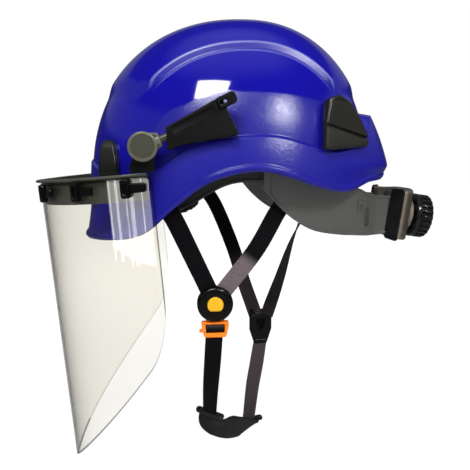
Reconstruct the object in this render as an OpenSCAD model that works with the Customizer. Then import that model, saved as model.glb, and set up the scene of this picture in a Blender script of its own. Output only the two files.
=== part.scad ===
// Climbing-style safety helmet with a flip-up face shield, a ratchet headband and a Y chin strap.
// Frame: origin at the centre of the headband, -X to the wearer's front, +Z up, millimetres.
// The wearer's left is -Y. The harness hangs askew, so its two sides have their own routes.

/* [Shell] */
// Centre of the dome to its front
shell_front = 139; // [132:1:148]
// Centre of the dome to its rear
shell_rear = 117; // [112:1:126]
// Half of the dome's width
shell_half_width = 107; // [102:1:113]
// Height of the dome above its belt line
dome_height = 143; // [138:1:150]
// Wall of the moulded shell
shell_wall = 3; // [2:0.25:4]
// How far the rim band stands out at the sides
band_side_step = 3.5; // [2:0.25:5]
// How far the rim band stands out at the rear
band_rear_step = 10; // [7:0.5:12]
// Rise of the broad crown panel
crown_rise = 3; // [1:0.25:4]
// Half width of the crown panel
crown_half_width = 72; // [64:1:78]

/* [Headband] */
// Length of the head that the band goes round
head_length = 194; // [186:1:200]
// Width of the head that the band goes round
head_width = 158; // [150:1:162]
// Thickness of the band
band_wall = 2.2; // [1.6:0.1:3]
// Height of the band at the front
band_height = 32; // [26:1:36]
// Thickness of the sweatband foam
sweatband_thick = 5; // [3:0.5:7]
// Width of the crown webbing
cradle_width = 20; // [16:1:24]
// Thickness of the webbing
web_thick = 1.6; // [1.2:0.1:2.2]

/* [Ratchet] */
// Radius of the knob
knob_r = 21.5; // [18:0.5:24]
// Length of the knob
knob_len = 18; // [15:0.5:21]
// Height of the ratchet housing
housing_height = 52; // [46:1:56]
// Half width of the ratchet housing
housing_half_width = 39; // [37:1:41]
// Travel of the headband's adjustment
size_travel = 12; // [8:1:12]
// Downward tilt of the knob's axis, degrees
ratchet_tilt = 8; // [4:1:12]

/* [Visor] */
// Height of the sheet at its middle
visor_height = 266; // [240:1:280]
// Thickness of the sheet
visor_thick = 1.2; // [1:0.1:2]
// Height of the brow frame
frame_height = 21.5; // [18:0.5:24]
// Wall of the brow frame
frame_wall = 3; // [2.5:0.25:4]
// How far the frame's top lip stands out
lip_out = 5; // [3:0.5:6]
// Forward droop of the lowered visor, degrees
visor_droop = 5; // [2:0.5:8]
// Height of the pivots above the headband's centre
pivot_z = 50; // [46:1:54]
// Radius of the pivot discs
disc_r = 11.5; // [10:0.5:13]
// Thickness of the pivot discs
disc_thick = 11; // [9:0.5:12]
// Radius of the pivot pins
pin_r = 3; // [2:0.25:4]
// Travel of the arms in their plates
arm_travel = 8; // [4:1:10]
// Thickness of the arm plates
plate_thick = 11; // [10:0.5:12]

/* [Chin strap] */
// Width of the chin webbing
web_width = 15; // [13:0.5:17]
// Radius of the buckle
buckle_r = 15.5; // [15:0.5:17]
// Thickness of the buckle
buckle_thick = 10; // [9:0.5:12]
// Travel of the release button
button_travel = 2.5; // [1.5:0.25:3]
// Travel of the tongue as it leaves the buckle
tongue_travel = 14; // [12:1:16]
// Width of the chin cup's band
cup_width = 27; // [22:1:32]
// Thickness of the chin cup
cup_thick = 4; // [3:0.5:5]

/* [Hidden] */
$fn = 48;

// General clearances
soft_gap = 0.3;      // between a soft piece and its neighbour
run_gap = 0.06;      // radial, on a shaft or a pin
slide_gap = 0.25;    // on a sliding piece

// Dome
dome_power = 2.2;
shell_x = -1;
belt_z = 20;
band_slope_side = 0.12;
band_slope_rear = 0.2;
band_slope_front = 0.02;
brim_flare = 4;
rear_tuck = 8;
shell_columns = 64;
shell_rows = 20;
// Height of the rim and of the rim band's top, by the angle from the front
rim_line = [[0, -29], [30, -26], [46, -18], [58, 3], [70, 22], [84, 31], [96, 31], [118, 18],
    [130, 15], [146, 22], [180, 23]];
band_line = [[0, 40], [40, 24], [52, 34], [62, 49], [76, 56], [98, 58], [118, 49], [128, 47],
    [142, 57], [156, 78], [180, 80]];

// Headband and nape wings: [x, y, low z, high z] along the left wing
headband_end = 112;
headband_line = [[0, -10], [50, -4], [78, 19], [96, 21], [112, 16]];
hang_angles = [32, 90, 128];
crown_z = 122;
wing_line = [[8, -83.5, 16, 32], [20, -83.5, 2, 32], [34, -82, -10, 30], [52, -78, -20, 26],
    [75, -69, -25, 20], [98, -56, -28, 14], [110, -43.5, -30, 9], [119, -32.8, -31, 7],
    [127, -29.5, -31, 6]];

// Visor arms
pivot_setback = 51;
pivot_x = shell_x - shell_front + pivot_setback;
arm_side_gap = 12;
rod_angle = 22;
rod_r = 3;
plate_x = 19;        // pivot to the plate's front edge
plate_z = 8;
plate_yaw = 6.5;
sheet_gap = 0.3;
brow_gap = 50;       // shell's front to the sheet's front
frame_low = 41.5;    // pivot down to the frame's lower edge
arc_back = 6;        // pivot back to the centre of the sheet's ellipse
lock_angles = [-78, -55, -30, 30, 55, 78];

// Ratchet, in its own tilted frame
ratchet_x = 116;
ratchet_z = -8;
housing_r = 50;
housing_thick = 15;
housing_front = 8;
rack_thick = 3;
gear_module = 1;
gear_teeth = 12;
gear_r = gear_module * gear_teeth / 2;
backlash = 0.3;
shaft_r = 2.5;

// Harness
buckle_at = [-32, -74, -83];
divider_at = [27, 55, -144];
tongue_height = 17;
anchor_r = 3.5;
function buckle_rim(angle) = buckle_at + (buckle_r + soft_gap + 0.1) * [sin(angle), 0, cos(angle)];
front_left_route = [[-84, -81, 24], [-76, -87, 8], [-66, -88, -8], [-54, -82, -34], buckle_rim(-24)];
rear_left_route = [[47, -76.5, 38], [39, -78, 24], [30, -79.6, 10], [20, -80.6, -4], [2, -80, -36], buckle_rim(35)];
front_right_route = [[-58, 90, 20], [-40, 92, 12], [-22, 88, -8], [-2, 80, -56], [10, 70, -96], [18, 57, -120.6]];
rear_right_route = [[92, 64, 26], [89, 70, 8], [82, 79, -16], [66, 78, -52], [51, 71, -94], [38, 56, -120.4]];
lower_left_route = [[-33, -74, -113], [-34, -66, -138], [-35, -52, -168], [-35.2, -37.8, -197]];
lower_right_route = [[26, 54, -164.9], [22, 50, -186], [17, 44, -208], [11.9, 37.4, -227.2]];
cup_route = [[-35, -36, -199], [-33, -33, -213], [-26, -23, -228], [-14, -7, -238], [-3, 10, -241],
    [6, 26, -237], [11, 36, -229]];

// ---------- functions ----------

function unit(v) = v / norm(v);
function lerp(a, b, t) = a + (b - a) * t;
function clamp01(t) = min(max(t, 0), 1);
function smooth(t) = let (u = clamp01(t)) u * u * (3 - 2 * u);
function last(list) = list[len(list) - 1];

// Smooth curve through a table of [key, value]
function slope(t, i) = (i == 0 || i == len(t) - 1) ? 0
    : (t[i + 1][1] - t[i - 1][1]) / (t[i + 1][0] - t[i - 1][0]);
function curve(t, x) =
    let (i = last([for (k = [0 : len(t) - 2]) if (x >= t[k][0] || k == 0) k]),
        h = t[i + 1][0] - t[i][0], u = (x - t[i][0]) / h)
    (2 * u ^ 3 - 3 * u ^ 2 + 1) * t[i][1] + (u ^ 3 - 2 * u ^ 2 + u) * h * slope(t, i)
    + (3 * u ^ 2 - 2 * u ^ 3) * t[i + 1][1] + (u ^ 3 - u ^ 2) * h * slope(t, i + 1);

// Points of a smooth open curve through a route, steps to each span
function bend(p, i) = (i == 0) ? p[1] - p[0] : (i == len(p) - 1) ? p[i] - p[i - 1] : (p[i + 1] - p[i - 1]) / 2;
function route_point(p, i, u) = (2 * u ^ 3 - 3 * u ^ 2 + 1) * p[i] + (u ^ 3 - 2 * u ^ 2 + u) * bend(p, i)
    + (3 * u ^ 2 - 2 * u ^ 3) * p[i + 1] + (u ^ 3 - u ^ 2) * bend(p, i + 1);
function route(p, steps) = [for (i = [0 : len(p) - 2], k = [0 : steps - 1]) route_point(p, i, k / steps), last(p)];

// Half width of the dome at a height and a place along it
function dome_ratio(z) = pow(1 - pow(max(z - belt_z, 0) / dome_height, dome_power), 1 / dome_power);
function dome_y(x, z, inset = 0) =
    let (a = ((x < shell_x) ? shell_front : shell_rear) - inset, b = shell_half_width - inset,
        h = max(z - belt_z, 0) / (dome_height - inset))
    b * pow(max(1 - pow(abs(x - shell_x) / a, dome_power) - pow(h, dome_power), 0), 1 / dome_power);

// Plan radius of the dome at an angle from the front, as [along, across]
function plan(angle, front, rear, half) =
    let (c = cos(angle), s = sin(angle), a = (c > 0) ? front : rear,
        r = pow(pow(abs(c) / a, dome_power) + pow(abs(s) / half, dome_power), -1 / dome_power))
    [-r * c, -r * s];

// How far the relief stands out of the plain dome
function fold(angle) = let (a = abs(angle) % 360) (a > 180) ? 360 - a : a;
function band_relief(a, z) =
    let (rear = smooth((a - 122) / 40), front = 1 - smooth((a - 30) / 30),
        step = lerp(lerp(band_side_step, band_side_step / 2, front), band_rear_step, rear),
        drop = curve(band_line, a) - z,
        grade = lerp(lerp(band_slope_side, band_slope_front, front), band_slope_rear, rear),
        under = rear * rear_tuck * smooth((36 - z) / 14))
    smooth(drop / 3 + 0.5) * (step + grade * max(drop, 0) - under)
    + front * brim_flare * pow(clamp01((2 - z) / 31), 1.6);
function crown_relief(y, z) = crown_rise * smooth((crown_half_width - abs(y)) / 5 + 0.5) * smooth((z - 92) / 14);

function shell_point(angle, s, inset) =
    let (a = fold(angle), rim = curve(rim_line, a), join = max(belt_z, rim + 12),
        h = dome_height - inset, front = shell_front - inset, rear = shell_rear - inset,
        half = shell_half_width - inset,
        top = acos(pow(min((join - belt_z) / h, 1), dome_power / 2)),
        z = (s < 0.8) ? max(belt_z + h * pow(cos(top * s / 0.8), 2 / dome_power), join)
            : lerp(join, rim, (s - 0.8) / 0.2),
        flat = plan(angle, front, rear, half) * pow(max(1 - pow(max(z - belt_z, 0) / h, dome_power), 0), 1 / dome_power),
        n = unit([flat[0] / (front * front), flat[1] / (half * half), max(z - belt_z, 0) / (h * h) + 1e-6]),
        out = band_relief(a, z) * [-cos(angle), -sin(angle), 0] + crown_relief(flat[1], z) * n)
    [shell_x + flat[0], flat[1], z] + out;

// ---------- shapes ----------

// Solid through rings of points that run anticlockwise about the way they advance
module skin(rings) {
    n = len(rings[0]);
    m = len(rings);
    polyhedron(
        points = [for (r = rings) each r],
        faces = concat(
            [[for (i = [0 : n - 1]) i], [for (i = [n - 1 : -1 : 0]) (m - 1) * n + i]],
            [for (j = [0 : m - 2], i = [0 : n - 1], half = [0, 1])
                let (k = (i + 1) % n, a = j * n + i, b = j * n + k, c = b + n, d = a + n)
                (half == 0) ? [a, d, c] : [a, c, b]]));
}

// Closed bowl: an apex, rings down the outside and up the inside, and the inner apex
module bowl(rings, top, bottom) {
    n = len(rings[0]);
    m = len(rings);
    final = n * m + 1;
    polyhedron(
        points = concat([top], [for (r = rings) each r], [bottom]),
        faces = concat(
            [for (i = [0 : n - 1]) [0, 1 + i, 1 + (i + 1) % n]],
            [for (i = [0 : n - 1]) [final, final - n + (i + 1) % n, final - n + i]],
            [for (j = [0 : m - 2], i = [0 : n - 1], half = [0, 1])
                let (k = (i + 1) % n, a = 1 + j * n + i, b = 1 + j * n + k, c = b + n, d = a + n)
                (half == 0) ? [a, d, c] : [a, c, b]]));
}

function turn_of(sides, t) = let (k = t * (len(sides) - 1), i = min(floor(k), len(sides) - 2))
    lerp(sides[i], sides[i + 1], k - i);

// Flat webbing along a path; side gives the way its width points, one vector or a list for a twist
module ribbon(path, width, thick, side) {
    m = len(path);
    skin([for (i = [0 : m - 1])
        let (t = unit(path[min(i + 1, m - 1)] - path[max(i - 1, 0)]),
            s = is_list(side[0]) ? turn_of(side, i / (m - 1)) : side,
            h = unit(cross(t, s)) * thick / 2, w = unit(cross(h, t)) * width / 2, p = path[i])
        [p - w - h, p + w - h, p + w + h, p - w + h]]);
}

// Moves to a point of the dome's surface, with +X to the rear, +Y up and +Z out of the surface
module on_shell(x, z, out = 0) {
    y = dome_y(x, z);
    a = (x < shell_x) ? shell_front : shell_rear;
    n = unit([sign(x - shell_x) * pow(abs(x - shell_x) / a, dome_power - 1) / a,
        -pow(y / shell_half_width, dome_power - 1) / shell_half_width,
        pow(max(z - belt_z, 0) / dome_height, dome_power - 1) / dome_height]);
    yaw = atan2(n[0], -n[1]);
    lean = asin(n[2]);
    translate([x, -y, z] + n * out) rotate([0, 0, yaw]) rotate([90 - lean, 0, 0]) children();
}

module mirrored() mirror([0, 1, 0]) children();

// ---------- shell and its clips ----------

module shell() {
    angles = [for (i = [0 : shell_columns - 1]) -360 * i / shell_columns];
    rows = [for (j = [1 : shell_rows]) j / shell_rows];
    outside = [for (s = rows) [for (a = angles) shell_point(a, s, 0)]];
    inside = [for (j = [shell_rows - 1 : -1 : 0]) [for (a = angles) shell_point(a, rows[j], shell_wall)]];
    peak = belt_z + dome_height + crown_rise;
    color("mediumblue") bowl(concat(outside, inside), [shell_x, 0, peak], [shell_x, 0, peak - shell_wall]);
}

module front_clip() {
    clip_height = 30;
    clip_half = 12.5;
    color("darkslategray") on_shell(-117, 41, band_side_step / 2 - 0.5) hull() {
        translate([-clip_half, -clip_height / 2, 0]) cube([2 * clip_half, 6, 2]);
        translate([-clip_half / 2, -clip_height / 2 + 2, 0]) cube([clip_half, 4, 9]);
        translate([-3, clip_height / 2 - 3, 0]) cube([6, 3, 2]);
        translate([-1.5, clip_height / 2 - 7, 0]) cube([3, 3, 8]);
    }
}

module rear_clip() {
    edge = 3;
    slot = 2.5;
    color("darkslategray") on_shell(72, 66, 2) difference() {
        linear_extrude(11) offset(edge) offset(-edge)
            polygon([[-25, -20], [24, -17], [25, -8], [14, 8], [6, 21], [-10, 24], [-20, 21], [-25, 0]]);
        translate([-22, -11, 6]) rotate([0, 0, 4]) cube([44, slot, 6]);
    }
}

module front_clip_left() front_clip();
module front_clip_right() mirrored() front_clip();
module rear_clip_left() rear_clip();
module rear_clip_right() mirrored() rear_clip();

// ---------- suspension ----------

head_a = head_length / 2 + band_wall / 2;
head_b = head_width / 2 + band_wall / 2;
function band_point(a, grow) = [-(head_a + grow) * cos(a), -(head_b + grow) * sin(a)];
function band_low(a) = curve(headband_line, fold(a));
function band_tall(a) = lerp(band_height, band_height * 0.65, smooth((fold(a) - 30) / 40));

// Upright strip round the head between two angles
module head_strip(from, to, grow, wall, low, tall, steps) {
    skin([for (i = [0 : steps])
        let (a = lerp(to, from, i / steps), o = band_point(a, grow + wall / 2), n = band_point(a, grow - wall / 2),
            b = band_low(a) + low, t = b + band_tall(a) + tall)
        [[n[0], n[1], b], [o[0], o[1], b], [o[0], o[1], t], [n[0], n[1], t]]]);
}

module headband() color("dimgray") head_strip(-headband_end, headband_end, 0, band_wall, 0, 0, 44);

module sweatband() {
    reach = 62;
    grow = -(band_wall + sweatband_thick) / 2 - soft_gap;
    color("black") head_strip(-reach, reach, grow, sweatband_thick, -5, 4, 24);
}

// Where a hanger meets the shell's wall
lug_z = 46;
function lug_ring(a) = plan(a, shell_front - shell_wall, shell_rear - shell_wall, shell_half_width - shell_wall)
    * dome_ratio(lug_z);
lug_depth = 6;
lug_half = 6;
lug_wall_gap = 3.8;
all_hangs = [for (a = hang_angles) each [a, -a]];

module shell_lugs() {
    color("dimgray") for (a = all_hangs) {
        r = norm(lug_ring(a));
        yaw = atan2(lug_ring(a)[1], lug_ring(a)[0]);
        translate([shell_x, 0, lug_z]) rotate([0, 0, yaw])
            translate([r - lug_depth - lug_wall_gap, -9, -lug_half]) cube([lug_depth, 18, 2 * lug_half]);
    }
}

// Where the rear hanger meets the wing, and the way along the wing there
wing_hang = (wing_line[3] + wing_line[4]) / 2;
wing_run = unit(wing_line[4] - wing_line[3]);
wing_out = unit([wing_run[1], -wing_run[0]]);

module suspension_hangers() {
    strip = 2;
    out = (band_wall + strip) / 2 + 2 * soft_gap;
    color("gray") for (a = all_hangs) {
        rear = abs(a) > headband_end;
        o = rear ? [wing_hang[0] + wing_out[0] * out, -sign(a) * abs(wing_hang[1] + wing_out[1] * out)]
            : band_point(a, out);
        low = rear ? 15 : band_low(a) + band_tall(a) - 12;
        u = unit(lug_ring(a));
        r = norm(lug_ring(a)) - lug_wall_gap - lug_depth / 2;
        foot = [o[0], o[1], low];
        head = [shell_x + u[0] * r, u[1] * r, lug_z - lug_half - 1.8];
        side = rear ? [wing_run[0], sign(a) * wing_run[1], 0] : [-u[1], u[0], 0];
        ribbon([foot, foot + [0, 0, 9], head], 16, strip, side);
    }
}

module crown_straps() {
    out = lug_wall_gap + lug_depth + web_thick / 2 + 1.6;
    color("gray") for (k = [0 : 2]) {
        ends = [for (a = [hang_angles[k], (k == 1) ? -hang_angles[1] : -hang_angles[2 - k]])
            let (u = unit(lug_ring(a)), r = norm(lug_ring(a)) - out) [shell_x + u[0] * r, u[1] * r]];
        low = lug_z - lug_half + 1;
        rise = crown_z + k * web_thick * 0.8 - low;
        run = ends[1] - ends[0];
        path = [for (i = [0 : 20]) let (c = -cos(180 * i / 20), p = lerp(ends[0], ends[1], (c + 1) / 2))
            [p[0], p[1], low + rise * pow(max(1 - pow(abs(c), 2.6), 0), 1 / 2.6)]];
        ribbon(path, cradle_width, web_thick, [run[1], -run[0], 0]);
    }
}

module crown_pad() {
    pad_r = 24;
    pad_thick = 7;
    color("black") translate([shell_x, 0, crown_z - web_thick / 2 - 2 - pad_thick])
        rotate_extrude() hull() {
            square([pad_r - pad_thick, pad_thick]);
            translate([pad_r - pad_thick / 2, pad_thick / 2]) circle(pad_thick / 2, $fn = 24);
        }
}

module nape_wing() {
    fine = route(wing_line, 3);
    color("dimgray") skin([for (i = [len(fine) - 1 : -1 : 0])
        let (p = fine[i], q = fine[min(i + 1, len(fine) - 1)] - fine[max(i - 1, 0)],
            n = unit([q[1], -q[0]]) * band_wall / 2)
        [[p[0] - n[0], p[1] - n[1], p[2]], [p[0] + n[0], p[1] + n[1], p[2]],
            [p[0] + n[0], p[1] + n[1], p[3]], [p[0] - n[0], p[1] - n[1], p[3]]]]);
}

module nape_wing_left() nape_wing();
module nape_wing_right() mirrored() nape_wing();

// ---------- ratchet ----------

module at_ratchet() translate([ratchet_x, 0, ratchet_z]) rotate([0, ratchet_tilt, 0]) children();

// Slab bent round the nape, from an inner to an outer radius
module nape_slab(inner, outer, half, tall) {
    intersection() {
        difference() {
            translate([0, 0, -tall / 2]) cylinder(r = outer, h = tall, $fn = 96);
            translate([0, 0, -tall / 2 - 1]) cylinder(r = inner, h = tall + 2, $fn = 96);
        }
        translate([housing_front, -half, -tall / 2]) cube([outer, 2 * half, tall]);
    }
}

rack_x = housing_r - housing_thick + 2.4;
rack_low = gear_r + gear_module * 1.25;
rack_back = 5;
cavity_half = housing_half_width - 14.5;

module ratchet_housing() {
    deep = rack_thick + 1.6;
    color("#4a4840") at_ratchet() difference() {
        union() {
            nape_slab(housing_r - housing_thick, housing_r, housing_half_width, housing_height);
            translate([housing_r - 4, 0, 0]) rotate([0, 90, 0]) cylinder(r = knob_r - 6, h = 6);
        }
        translate([rack_x - 20, -cavity_half, -rack_low - rack_back - 1])
            cube([20 + deep, 2 * cavity_half, 2 * (rack_low + rack_back + 1)]);
        rotate([0, 90, 0]) cylinder(r = shaft_r + run_gap, h = housing_r + 10);
    }
}

module nape_pad() color("#3a3a38") at_ratchet()
    nape_slab(housing_r - housing_thick - 3, housing_r - housing_thick - soft_gap, housing_half_width - 15, housing_height - 6);

// Trapezoid teeth in a row, pointing to -Y
module rack_teeth(count) {
    pitch = PI * gear_module;
    for (k = [0 : count - 1]) translate([k * pitch, 0])
        polygon([[-0.79 + backlash / 2 - 0.42, 0.1], [-0.79 + backlash / 2 + 0.36, -2.2], [0.79 - backlash / 2 - 0.36, -2.2],
            [0.79 - backlash / 2 + 0.42, 0.1]]);
}

module size_rack() {
    count = 8;
    pitch = PI * gear_module;
    color("dimgray") translate([rack_x, -(count - 1.5) * pitch, rack_low]) rotate([90, 0, 90]) linear_extrude(rack_thick) {
        translate([-pitch / 2, 0]) square([count * pitch, rack_back]);
        rack_teeth(count);
    }
}

module size_rack_left() at_ratchet() size_rack();
module size_rack_right() at_ratchet() rotate([180, 0, 0]) size_rack();

module ratchet_pinion() {
    color("silver") at_ratchet() translate([rack_x, 0, 0]) rotate([90, 0, 90]) difference() {
        linear_extrude(rack_thick) union() {
            circle(gear_r - 1.25 * gear_module);
            for (k = [0 : gear_teeth - 1]) rotate([0, 0, k * 360 / gear_teeth])
                polygon([[gear_r - 1.6, -1.15 + backlash / 2], [gear_r, -0.79 + backlash / 2], [gear_r + 0.9, -0.4],
                    [gear_r + 0.9, 0.4], [gear_r, 0.79 - backlash / 2], [gear_r - 1.6, 1.15 - backlash / 2]]);
        }
        translate([0, 0, -1]) cylinder(r = shaft_r, h = rack_thick + 2);
    }
}

module knob_shaft() color("silver") at_ratchet() translate([rack_x - 0.5, 0, 0]) rotate([0, 90, 0])
    cylinder(r = shaft_r, h = housing_r + knob_len - rack_x - 4);

module pawl_ring() {
    color("silver") at_ratchet() translate([housing_r + 2.5, 0, 0]) rotate([0, 90, 0]) difference() {
        cylinder(r = 10, h = 1.2);
        translate([0, 0, -1]) cylinder(r = 6, h = 4);
    }
}

module ratchet_knob() {
    start = housing_r + 3;
    grips = 30;
    color("#202020") at_ratchet() translate([start, 0, 0]) rotate([0, 90, 0]) difference() {
        union() {
            rotate_extrude() polygon([[0, 1.5], [knob_r - 2, 1.5], [knob_r, 0], [knob_r, knob_len - 3],
                [knob_r - 3, knob_len], [0, knob_len]]);
            for (k = [0 : grips - 1]) rotate([0, 0, k * 360 / grips]) translate([knob_r, 0, 2])
                cylinder(r = 1, h = knob_len - 6, $fn = 16);
        }
        translate([0, 0, -1]) difference() {
            cylinder(r = knob_r - 3, h = 7);
            cylinder(r = 5, h = 8);
        }
        translate([0, 0, -1]) cylinder(r = shaft_r, h = knob_len - 5);
    }
}

// ---------- visor arms ----------

pivot_y = dome_y(pivot_x, pivot_z) + arm_side_gap;      // inner face of the brow frame's end
disc_y = pivot_y + frame_wall + 0.4;                    // inner face of the disc
rod_y = disc_y + disc_thick / 2;
rod_dir = [cos(rod_angle), 0, sin(rod_angle)];
plate_front = pivot_x + plate_x;

// Turns the plate's own plane, X to the rear and Y up, to the helmet's left side
module at_plate() translate([plate_front, -disc_y + 0.5, pivot_z]) rotate([0, 0, -plate_yaw]) rotate([90, 0, 0]) children();

module arm_plate() {
    rod_hole = rod_r + slide_gap;
    clip_slot = 13;
    color("#1c1c1c") difference() {
        at_plate() difference() {
            linear_extrude(plate_thick)
                polygon([[0, 18], [43, 38.5], [43, 35], [48.5, 24], [56, 10.5], [28, 7], [11, 4.5], [1, -1]]);
            translate([43 - 2, 27, plate_thick - 5]) rotate([0, 0, 26]) cube([clip_slot, 10, 12]);
            translate([6, 12, plate_thick - 1.5]) rotate([0, 0, 26]) cube([36, 6, 3]);
        }
        translate([pivot_x, -rod_y, pivot_z]) rotate([0, 90 - rod_angle, 0]) cylinder(r = rod_hole, h = plate_x + 16);
    }
}

module latch_clip() {
    color("#1c1c1c") at_plate() translate([43 - 1.4, 27.4, plate_thick - 4.7]) rotate([0, 0, 26]) difference() {
        cube([15, 9, 6]);
        translate([-1, 3, -1]) cube([8, 3, 9]);
    }
}

module pivot_arm() {
    reach = plate_x / cos(rod_angle) + 5;
    color("#4a4a40") difference() {
        union() {
            translate([pivot_x, -disc_y, pivot_z]) rotate([90, 0, 0]) cylinder(r = disc_r, h = disc_thick);
            translate([pivot_x, -rod_y, pivot_z]) rotate([0, 90 - rod_angle, 0]) {
                cylinder(r = rod_r, h = reach);
                cylinder(r = rod_r + 1.6, h = plate_x - 4.5);
            }
        }
        translate([pivot_x, -disc_y + 1, pivot_z]) rotate([90, 0, 0]) cylinder(r = pin_r, h = disc_thick + 2);
    }
}

module pivot_pin() {
    long = frame_wall + disc_thick + 0.4;
    color("silver") translate([pivot_x, -pivot_y, pivot_z]) rotate([90, 0, 0]) cylinder(r = pin_r, h = long);
}

module arm_plate_left() arm_plate();
module arm_plate_right() mirrored() arm_plate();
module latch_clip_left() latch_clip();
module latch_clip_right() mirrored() latch_clip();
module pivot_arm_left() pivot_arm();
module pivot_arm_right() mirrored() pivot_arm();
module pivot_pin_left() pivot_pin();
module pivot_pin_right() mirrored() pivot_pin();

// ---------- visor ----------

module at_visor() translate([pivot_x, 0, pivot_z]) rotate([0, -visor_droop, 0]) children();

// Plan of the visor as seen from the pivots: grow is measured out from the frame's inner face
arc_reach = arc_back + pivot_setback + brow_gap - frame_wall - sheet_gap - visor_thick;
function arc(u, grow) = [arc_back - (arc_reach + grow) * cos(u), -(pivot_y + grow) * sin(u)];
frame_top = frame_height - frame_low;
sheet_top = frame_top - 3.6;

module visor_bracket() {
    hub = 9;
    foot = 9.5;
    color("#1c1c1c") at_visor() translate([0, -pivot_y, 0]) rotate([90, 0, 0]) difference() {
        linear_extrude(frame_wall) hull() {
            circle(hub);
            translate([-foot - 3, frame_top + 0.2]) square([2 * foot, 4]);
        }
        translate([0, 0, -1]) cylinder(r = pin_r + run_gap, h = frame_wall + 2);
    }
}

module brow_frame() {
    steps = 44;
    reach = 87;
    lip = 2.6;
    color("#1c1c1c") at_visor() skin([for (i = [0 : steps])
        let (u = lerp(reach, -reach, i / steps), n = arc(u, 0), o = arc(u, frame_wall), l = arc(u, frame_wall + lip_out),
            b = -frame_low)
        [[n[0], n[1], b], [o[0], o[1], b], [o[0], o[1], frame_top - lip], [l[0], l[1], frame_top - lip],
            [l[0], l[1], frame_top], [n[0], n[1], frame_top]]]);
}

// Lower edge of the sheet, by the angle from its middle
corner_start = 80;
sheet_end = 89;
function sheet_low(u) = let (a = abs(u), side = sheet_top - visor_height * 0.575,
    low = sheet_top - visor_height + visor_height * 0.425 * pow(a / 82, 1.6))
    (a < corner_start) ? low
    : low + 36 * (1 - sqrt(max(1 - pow((a - corner_start) / (sheet_end - corner_start), 2), 0)));

module visor_sheet() {
    steps = 52;
    inner = frame_wall + sheet_gap;
    color("#e2ded4", 0.35) at_visor() skin([for (i = [0 : steps])
        let (t = 2 * i / steps - 1, u = -sheet_end * t,
            n = arc(u, inner), o = arc(u, inner + visor_thick), b = sheet_low(u))
        [[n[0], n[1], b], [o[0], o[1], b], [o[0], o[1], sheet_top], [n[0], n[1], sheet_top]]]);
}

module visor_lock(u) {
    p = arc(u, frame_wall + sheet_gap + visor_thick + sheet_gap);
    q = arc(u + 1, 0) - arc(u - 1, 0);
    yaw = atan2(q[1], q[0]);
    color("#1c1c1c") at_visor() translate([p[0], p[1], frame_top - 11]) rotate([0, 0, yaw]) rotate([90, 0, 0])
        lock_body(sign(u));
}

// T-shaped turn lock: a round boss, an upright grip and a short arm
module lock_body(back) {
    mirror([(back > 0) ? 0 : 1, 0, 0]) {
        cylinder(r = 4, h = 2);
        translate([-3.5, -7.5, 1]) cube([7, 15, 5.5]);
        translate([0, -4, 0.6]) cube([16, 8, 3]);
    }
}

module visor_bracket_left() visor_bracket();
module visor_bracket_right() mirrored() visor_bracket();
module visor_lock_1() visor_lock(lock_angles[0]);
module visor_lock_2() visor_lock(lock_angles[1]);
module visor_lock_3() visor_lock(lock_angles[2]);
module visor_lock_4() visor_lock(lock_angles[3]);
module visor_lock_5() visor_lock(lock_angles[4]);
module visor_lock_6() visor_lock(lock_angles[5]);

// ---------- chin strap ----------

left_side = [1, 0.1, 0.45];
right_side = [1, -0.1, 0.4];
cup_side = [0.75, -0.65, 0];
rear_left_sides = [[1, 0.25, -0.6], [1, 0.2, -0.6], [1, 0, -0.6], [1, 0, -0.6]];
rear_right_sides = [[1, -0.55, 0], [1, -0.3, 0], [0.2, 1, 0.1], [0.8, 0.6, -0.3], [1, 0.15, -0.5]];

module front_strap_left() color("#15151c") ribbon(route(front_left_route, 4), web_width, web_thick, left_side);
module rear_strap_left() color("#15151c") ribbon(route(rear_left_route, 4), web_width, web_thick, rear_left_sides);
module front_strap_right() color("#15151c") ribbon(route(front_right_route, 4), web_width, web_thick, right_side);
module rear_strap_right() color("#15151c")
    ribbon(route(rear_right_route, 4), web_width, web_thick, rear_right_sides);
module lower_strap_left() color("#15151c") ribbon(route(lower_left_route, 4), web_width, web_thick, [[1, 0, 0], cup_side]);
module lower_strap_right() color("#15151c") ribbon(route(lower_right_route, 4), web_width, web_thick, [[1, 0.14, 0], cup_side]);

// Half width of the shell's inner wall, with its relief
function wall_y(x, z) = let (y = dome_y(x, z, shell_wall), a = atan2(y, shell_x - x)) y + band_relief(a, z) * sin(a);

// Stub from each upper strap's end to the shell's inner wall, clear of the strap's slant by its stand-off
module strap_anchors() {
    color("#303030") for (a = [[front_left_route[0], 1.9], [rear_left_route[0], 0.9], [front_right_route[0], 1.9],
        [rear_right_route[0], 2.1]]) {
        p = a[0];
        start = abs(p[1]) + web_thick / 2 + a[1];
        wall = wall_y(p[0] + sign(p[0] - shell_x) * anchor_r, p[2] + anchor_r);
        translate([p[0], sign(p[1]) * start, p[2]]) rotate([-90 * sign(p[1]), 0, 0])
            cylinder(r = anchor_r, h = max(wall - start - soft_gap, 1));
    }
}

module at_buckle() translate(buckle_at) rotate([90, 0, 0]) children();
button_half = 7;
channel_half = 8.5;
channel_thick = 4;

module button_shape(grow) {
    intersection() {
        circle(button_half + grow);
        translate([-10, -button_half + 1.5 - grow]) square([20, 20]);
    }
}

module buckle_body() {
    well = buckle_thick / 2 + button_travel + 0.5;
    color("#151515") at_buckle() difference() {
        translate([0, 0, -buckle_thick / 2]) cylinder(r = buckle_r, h = buckle_thick);
        translate([0, 0, buckle_thick / 2 - well]) linear_extrude(well + 1) button_shape(slide_gap);
        translate([-channel_half, -buckle_r - 1, -buckle_thick / 2 + 1]) cube([2 * channel_half, buckle_r - 1, channel_thick]);
    }
}

module release_button() {
    color("#ffd91e") at_buckle() translate([0, 0, buckle_thick / 2 - 4]) linear_extrude(4.6) button_shape(0);
}

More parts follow.
